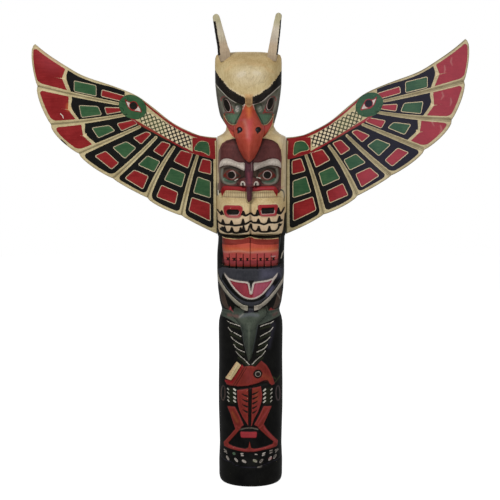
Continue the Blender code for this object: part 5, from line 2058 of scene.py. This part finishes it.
@dataclass(frozen=True)
class Finish:
    """Hand-brushed satin enamel on adzed western red cedar."""

    light: str
    dark: str
    grain: tuple[float, float, float]       # how finely the grain repeats along x, y and z
    roughness: float = 0.60
    specular: float = 0.07

    def material(self, name: str, fields: dict[str, Array]) -> bpy.types.Material:
        """Bare cedar under its coats: streaky colour, thin wobbly paint edges, painted shade in the cuts.

        Args:
            name: the piece's name.
            fields: the fields that its mesh carries.

        Returns:
            The material.
        """
        material = bpy.data.materials.new(f"{name}_enamel_on_cedar")
        material.use_nodes = True
        tree = material.node_tree
        shader = tree.nodes["Principled BSDF"]
        place = add(tree, "ShaderNodeTexCoord").outputs["Object"]

        def noise(scale: float, detail: float, source: Socket = place) -> Socket:
            """A noise with this many waves a metre."""
            return add(tree, "ShaderNodeTexNoise", {}, {"Vector": source, "Scale": scale, "Detail": detail,
                                                        "Roughness": 0.6}).outputs["Fac"]

        def step(kind: str, a: object, b: object = 0.0) -> Socket:
            """One arithmetic step."""
            return add(tree, "ShaderNodeMath", {"operation": kind}, {0: a, 1: b, 2: 0.0}).outputs[0]

        plus, less, times, most = (partial(step, kind) for kind in ('ADD', 'SUBTRACT', 'MULTIPLY', 'MAXIMUM'))

        def ramp(value: Socket, low: float, high: float, to: float = 1.0) -> Socket:
            """A smooth step from 0 at low to `to` at high."""
            return add(tree, "ShaderNodeMapRange", {"interpolation_type": 'SMOOTHSTEP'},
                       {0: value, 1: low, 2: high, 3: 0.0, 4: to}).outputs[0]

        def mix(share: object, a: object, b: object, blend: str = 'MIX') -> Socket:
            """Two colours blended."""
            return add(tree, "ShaderNodeMix", {"data_type": 'RGBA', "blend_type": blend},
                       {0: share, 6: a, 7: b}).outputs[2]

        def stored(key: str) -> Socket:
            """A field that the mesh carries."""
            return add(tree, "ShaderNodeAttribute", {"attribute_name": key}).outputs["Fac"]

        stretched = add(tree, "ShaderNodeMapping", {}, {"Vector": place, "Scale": self.grain}).outputs[0]
        grain = noise(1.0, 4.0, stretched)          # cedar grain: streaks 2 to 4 mm wide
        patch = noise(16.0, 3.0)                    # patches of thick and thin paint, about 60 mm
        speck = noise(240.0, 3.0)                   # specks and brush drag, about 4 mm
        wobble = times(less(noise(110.0, 2.0), 0.5), 2.0)
        hollow = stored("hollow")

        streak = plus(times(grain, 0.35), times(patch, 0.40))
        streak = plus(streak, times(speck, 0.25))
        colour = mix(ramp(streak, 0.36, 0.62), linear(self.dark), linear(self.light))
        rough = plus(self.roughness, times(speck, 0.10))
        thinness = plus(times(patch, 0.6), times(grain, 0.4))
        thin = ramp(less(thinness, times(hollow, 0.25)), 0.36, 0.68)
        worn = less(speck, times(hollow, 0.12))
        chips = ramp(plus(worn, times(patch, 0.25)), 0.90, 0.95)
        kept = less(1.0, chips)
        painted: Socket | float = 0.0
        for coat in Coat:
            if coat.name.lower() not in fields:
                continue
            edge = plus(stored(coat.name.lower()), wobble)
            cover = times(ramp(less(0.4, edge), -0.5, 0.5), kept)
            colour = mix(cover, colour, mix(thin, linear(coat.full), linear(coat.thin)))
            level = plus(coat.roughness, times(speck, 0.12))
            rough = plus(times(rough, less(1.0, cover)), times(level, cover))
            painted = most(painted, cover)
        uneven = plus(0.75, times(speck, 0.5))
        for tint in list(Tint)[::-1]:
            key = tint.name.lower() + "_tint"
            if key not in fields:
                continue
            share = stored(key)
            # Soil and shade also takes painted shade from the hollows.
            if tint is Tint.SOIL:
                share = most(share, ramp(hollow, 0.12, 0.80, 0.5))
            # Painted sheen is added as light; the other tints cover.
            colour = mix(times(share, uneven), colour, linear(tint.value),
                         'ADD' if tint is Tint.BLOOM else 'MIX')
        if "comb_tint" in fields:
            across = add(tree, "ShaderNodeSeparateXYZ", {}, {0: place}).outputs[0]
            wave = step('SINE', times(across, math.tau / (Visage.teeth_pitch * MM)))
            lines = times(ramp(wave, 0.25, 0.9), stored("comb_tint"))
            colour = mix(times(lines, 0.5), colour, linear("#5b4433"))
        tree.links.new(colour, shader.inputs["Base Color"])
        tree.links.new(rough, shader.inputs["Roughness"])
        shader.inputs["Specular IOR Level"].default_value = self.specular
        height = plus(times(grain, 0.4), times(speck, 0.25))
        height = plus(height, times(painted, 0.25))
        bump = add(tree, "ShaderNodeBump", {}, {"Strength": 0.5, "Distance": 0.0012, "Height": height})
        tree.links.new(bump.outputs[0], shader.inputs["Normal"])
        return material


# ---- the studio --------------------------------------------------------------------------------
@dataclass
class Studio:
    """A pale floor under a white sky, soft lights, and a camera at a standing onlooker's eye height."""

    eye_height: float = 1.5
    distance: float = 4.5
    pitch: float = 7.35
    lens: float = 83.58
    offset: float = -0.0027
    ambient: float = 0.34

    def build(self) -> None:
        """Set the camera, floor, world and lights."""
        scene = bpy.context.scene
        scene.view_settings.view_transform = 'Standard'
        camera = bpy.data.cameras.new("camera")
        camera.lens = self.lens
        camera.sensor_width = 36.0
        viewer = bpy.data.objects.new("camera", camera)
        viewer.location = (self.offset, -self.distance, self.eye_height)
        viewer.rotation_euler = (math.radians(90.0 - self.pitch), 0.0, 0.0)
        scene.collection.objects.link(viewer)
        scene.camera = viewer
        self._floor(scene)
        self._world(scene)
        self._light("key_light", (-2.6, -3.4, 3.4), 1.6, 118.0, (0.0, 0.0, 1.15))
        self._light("side_light", (3.4, -2.4, 2.2), 1.8, 55.0, (0.1, 0.0, 1.2))
        self._light("fill_light", (0.0, -4.2, 0.6), 2.2, 34.0, (0.0, 0.0, 1.2))
        self._light("back_light", (0.5, 3.6, 3.0), 2.0, 60.0, (0.0, 0.0, 1.2))

    def _floor(self, scene: bpy.types.Scene) -> None:
        """A wide disc, almost as bright as the sky, that still takes the pole's soft shadow.

        Args:
            scene: the scene.
        """
        turn = np.linspace(0.0, math.tau, 96, endpoint=False)
        ring = np.stack([7.0 * np.cos(turn), 7.0 * np.sin(turn), np.zeros(96)], axis=1)
        mesh = bpy.data.meshes.new("floor")
        mesh.from_pydata(ring.tolist(), [], [list(range(96))])
        floor = bpy.data.objects.new("floor", mesh)
        floor.visible_diffuse = False
        floor.visible_glossy = False
        scene.collection.objects.link(floor)
        material = bpy.data.materials.new("pale_painted_floor")
        material.use_nodes = True
        shader = material.node_tree.nodes["Principled BSDF"]
        for key, value in (("Base Color", (0.3, 0.3, 0.3, 1.0)), ("Roughness", 0.8),
                ("Specular IOR Level", 0.1), ("Emission Color", WHITE_LIGHT), ("Emission Strength", 0.9)):
            shader.inputs[key].default_value = value
        mesh.materials.append(material)

    def _world(self, scene: bpy.types.Scene) -> None:
        """White to look at, and softer as a light, so that dark paint stays dark.

        Args:
            scene: the scene.
        """
        world = bpy.data.worlds.new("sky")
        world.use_nodes = True
        tree = world.node_tree
        seen = add(tree, "ShaderNodeLightPath").outputs["Is Camera Ray"]
        glow, white = (add(tree, "ShaderNodeBackground", {}, {"Color": WHITE_LIGHT, "Strength": strength})
                       for strength in (self.ambient, 1.0))
        sky = add(tree, "ShaderNodeMixShader", {}, {0: seen, 1: glow.outputs[0], 2: white.outputs[0]})
        tree.links.new(sky.outputs[0], tree.nodes["World Output"].inputs["Surface"])
        scene.world = world

    @staticmethod
    def _light(name: str, place: tuple[float, float, float], size: float, power: float,
               target: tuple[float, float, float]) -> None:
        """A square soft light that looks at a target.

        Args:
            name: its name.
            place: where it hangs.
            size: edge length in metres.
            power: watts.
            target: what it looks at.
        """
        lamp = bpy.data.lights.new(name, 'AREA')
        lamp.size = size
        lamp.energy = power
        holder = bpy.data.objects.new(name, lamp)
        holder.location = place
        holder.rotation_euler = (Vector(target) - Vector(place)).to_track_quat('-Z', 'Y').to_euler()
        bpy.context.scene.collection.objects.link(holder)


# ---- the whole pole ----------------------------------------------------------------------------
def main() -> None:
    """Build the five pieces and the studio, and note the sizes."""
    logging.basicConfig(level=logging.INFO, format="%(message)s")
    trunk_finish = Finish(light="#c9b58a", dark="#ab9367", grain=(190.0, 190.0, 50.0))
    wing_finish = Finish(light="#c2b48d", dark="#a2926c", grain=(20.0, 200.0, 260.0))
    horn_finish = Finish(light="#c0b597", dark="#a0947a", grain=(320.0, 320.0, 14.0), roughness=0.62)
    Trunk().build(trunk_finish)
    Wing(Side.LEFT, raised=0.0, painted_glare=0.0).build(wing_finish)
    Wing(Side.RIGHT, raised=1.6, painted_glare=0.11).build(wing_finish)
    left = ((1628, 18), (1656, 22), (1676, 25), (1703, 20.5), (1760, 17), (1810, 14))
    Horn(Side.LEFT, foot_x=87.0, lean_out=12.4, top=1825.0, widths=left, edge=7.0).build(horn_finish)
    right = ((1628, 17), (1656, 19.5), (1672, 20), (1700, 19), (1757, 16.5), (1815, 12.5))
    Horn(Side.RIGHT, foot_x=87.0, lean_out=8.9, top=1827.5, widths=right, edge=3.0).build(horn_finish)
    Studio().build()


if __name__ == "__main__":
    main()
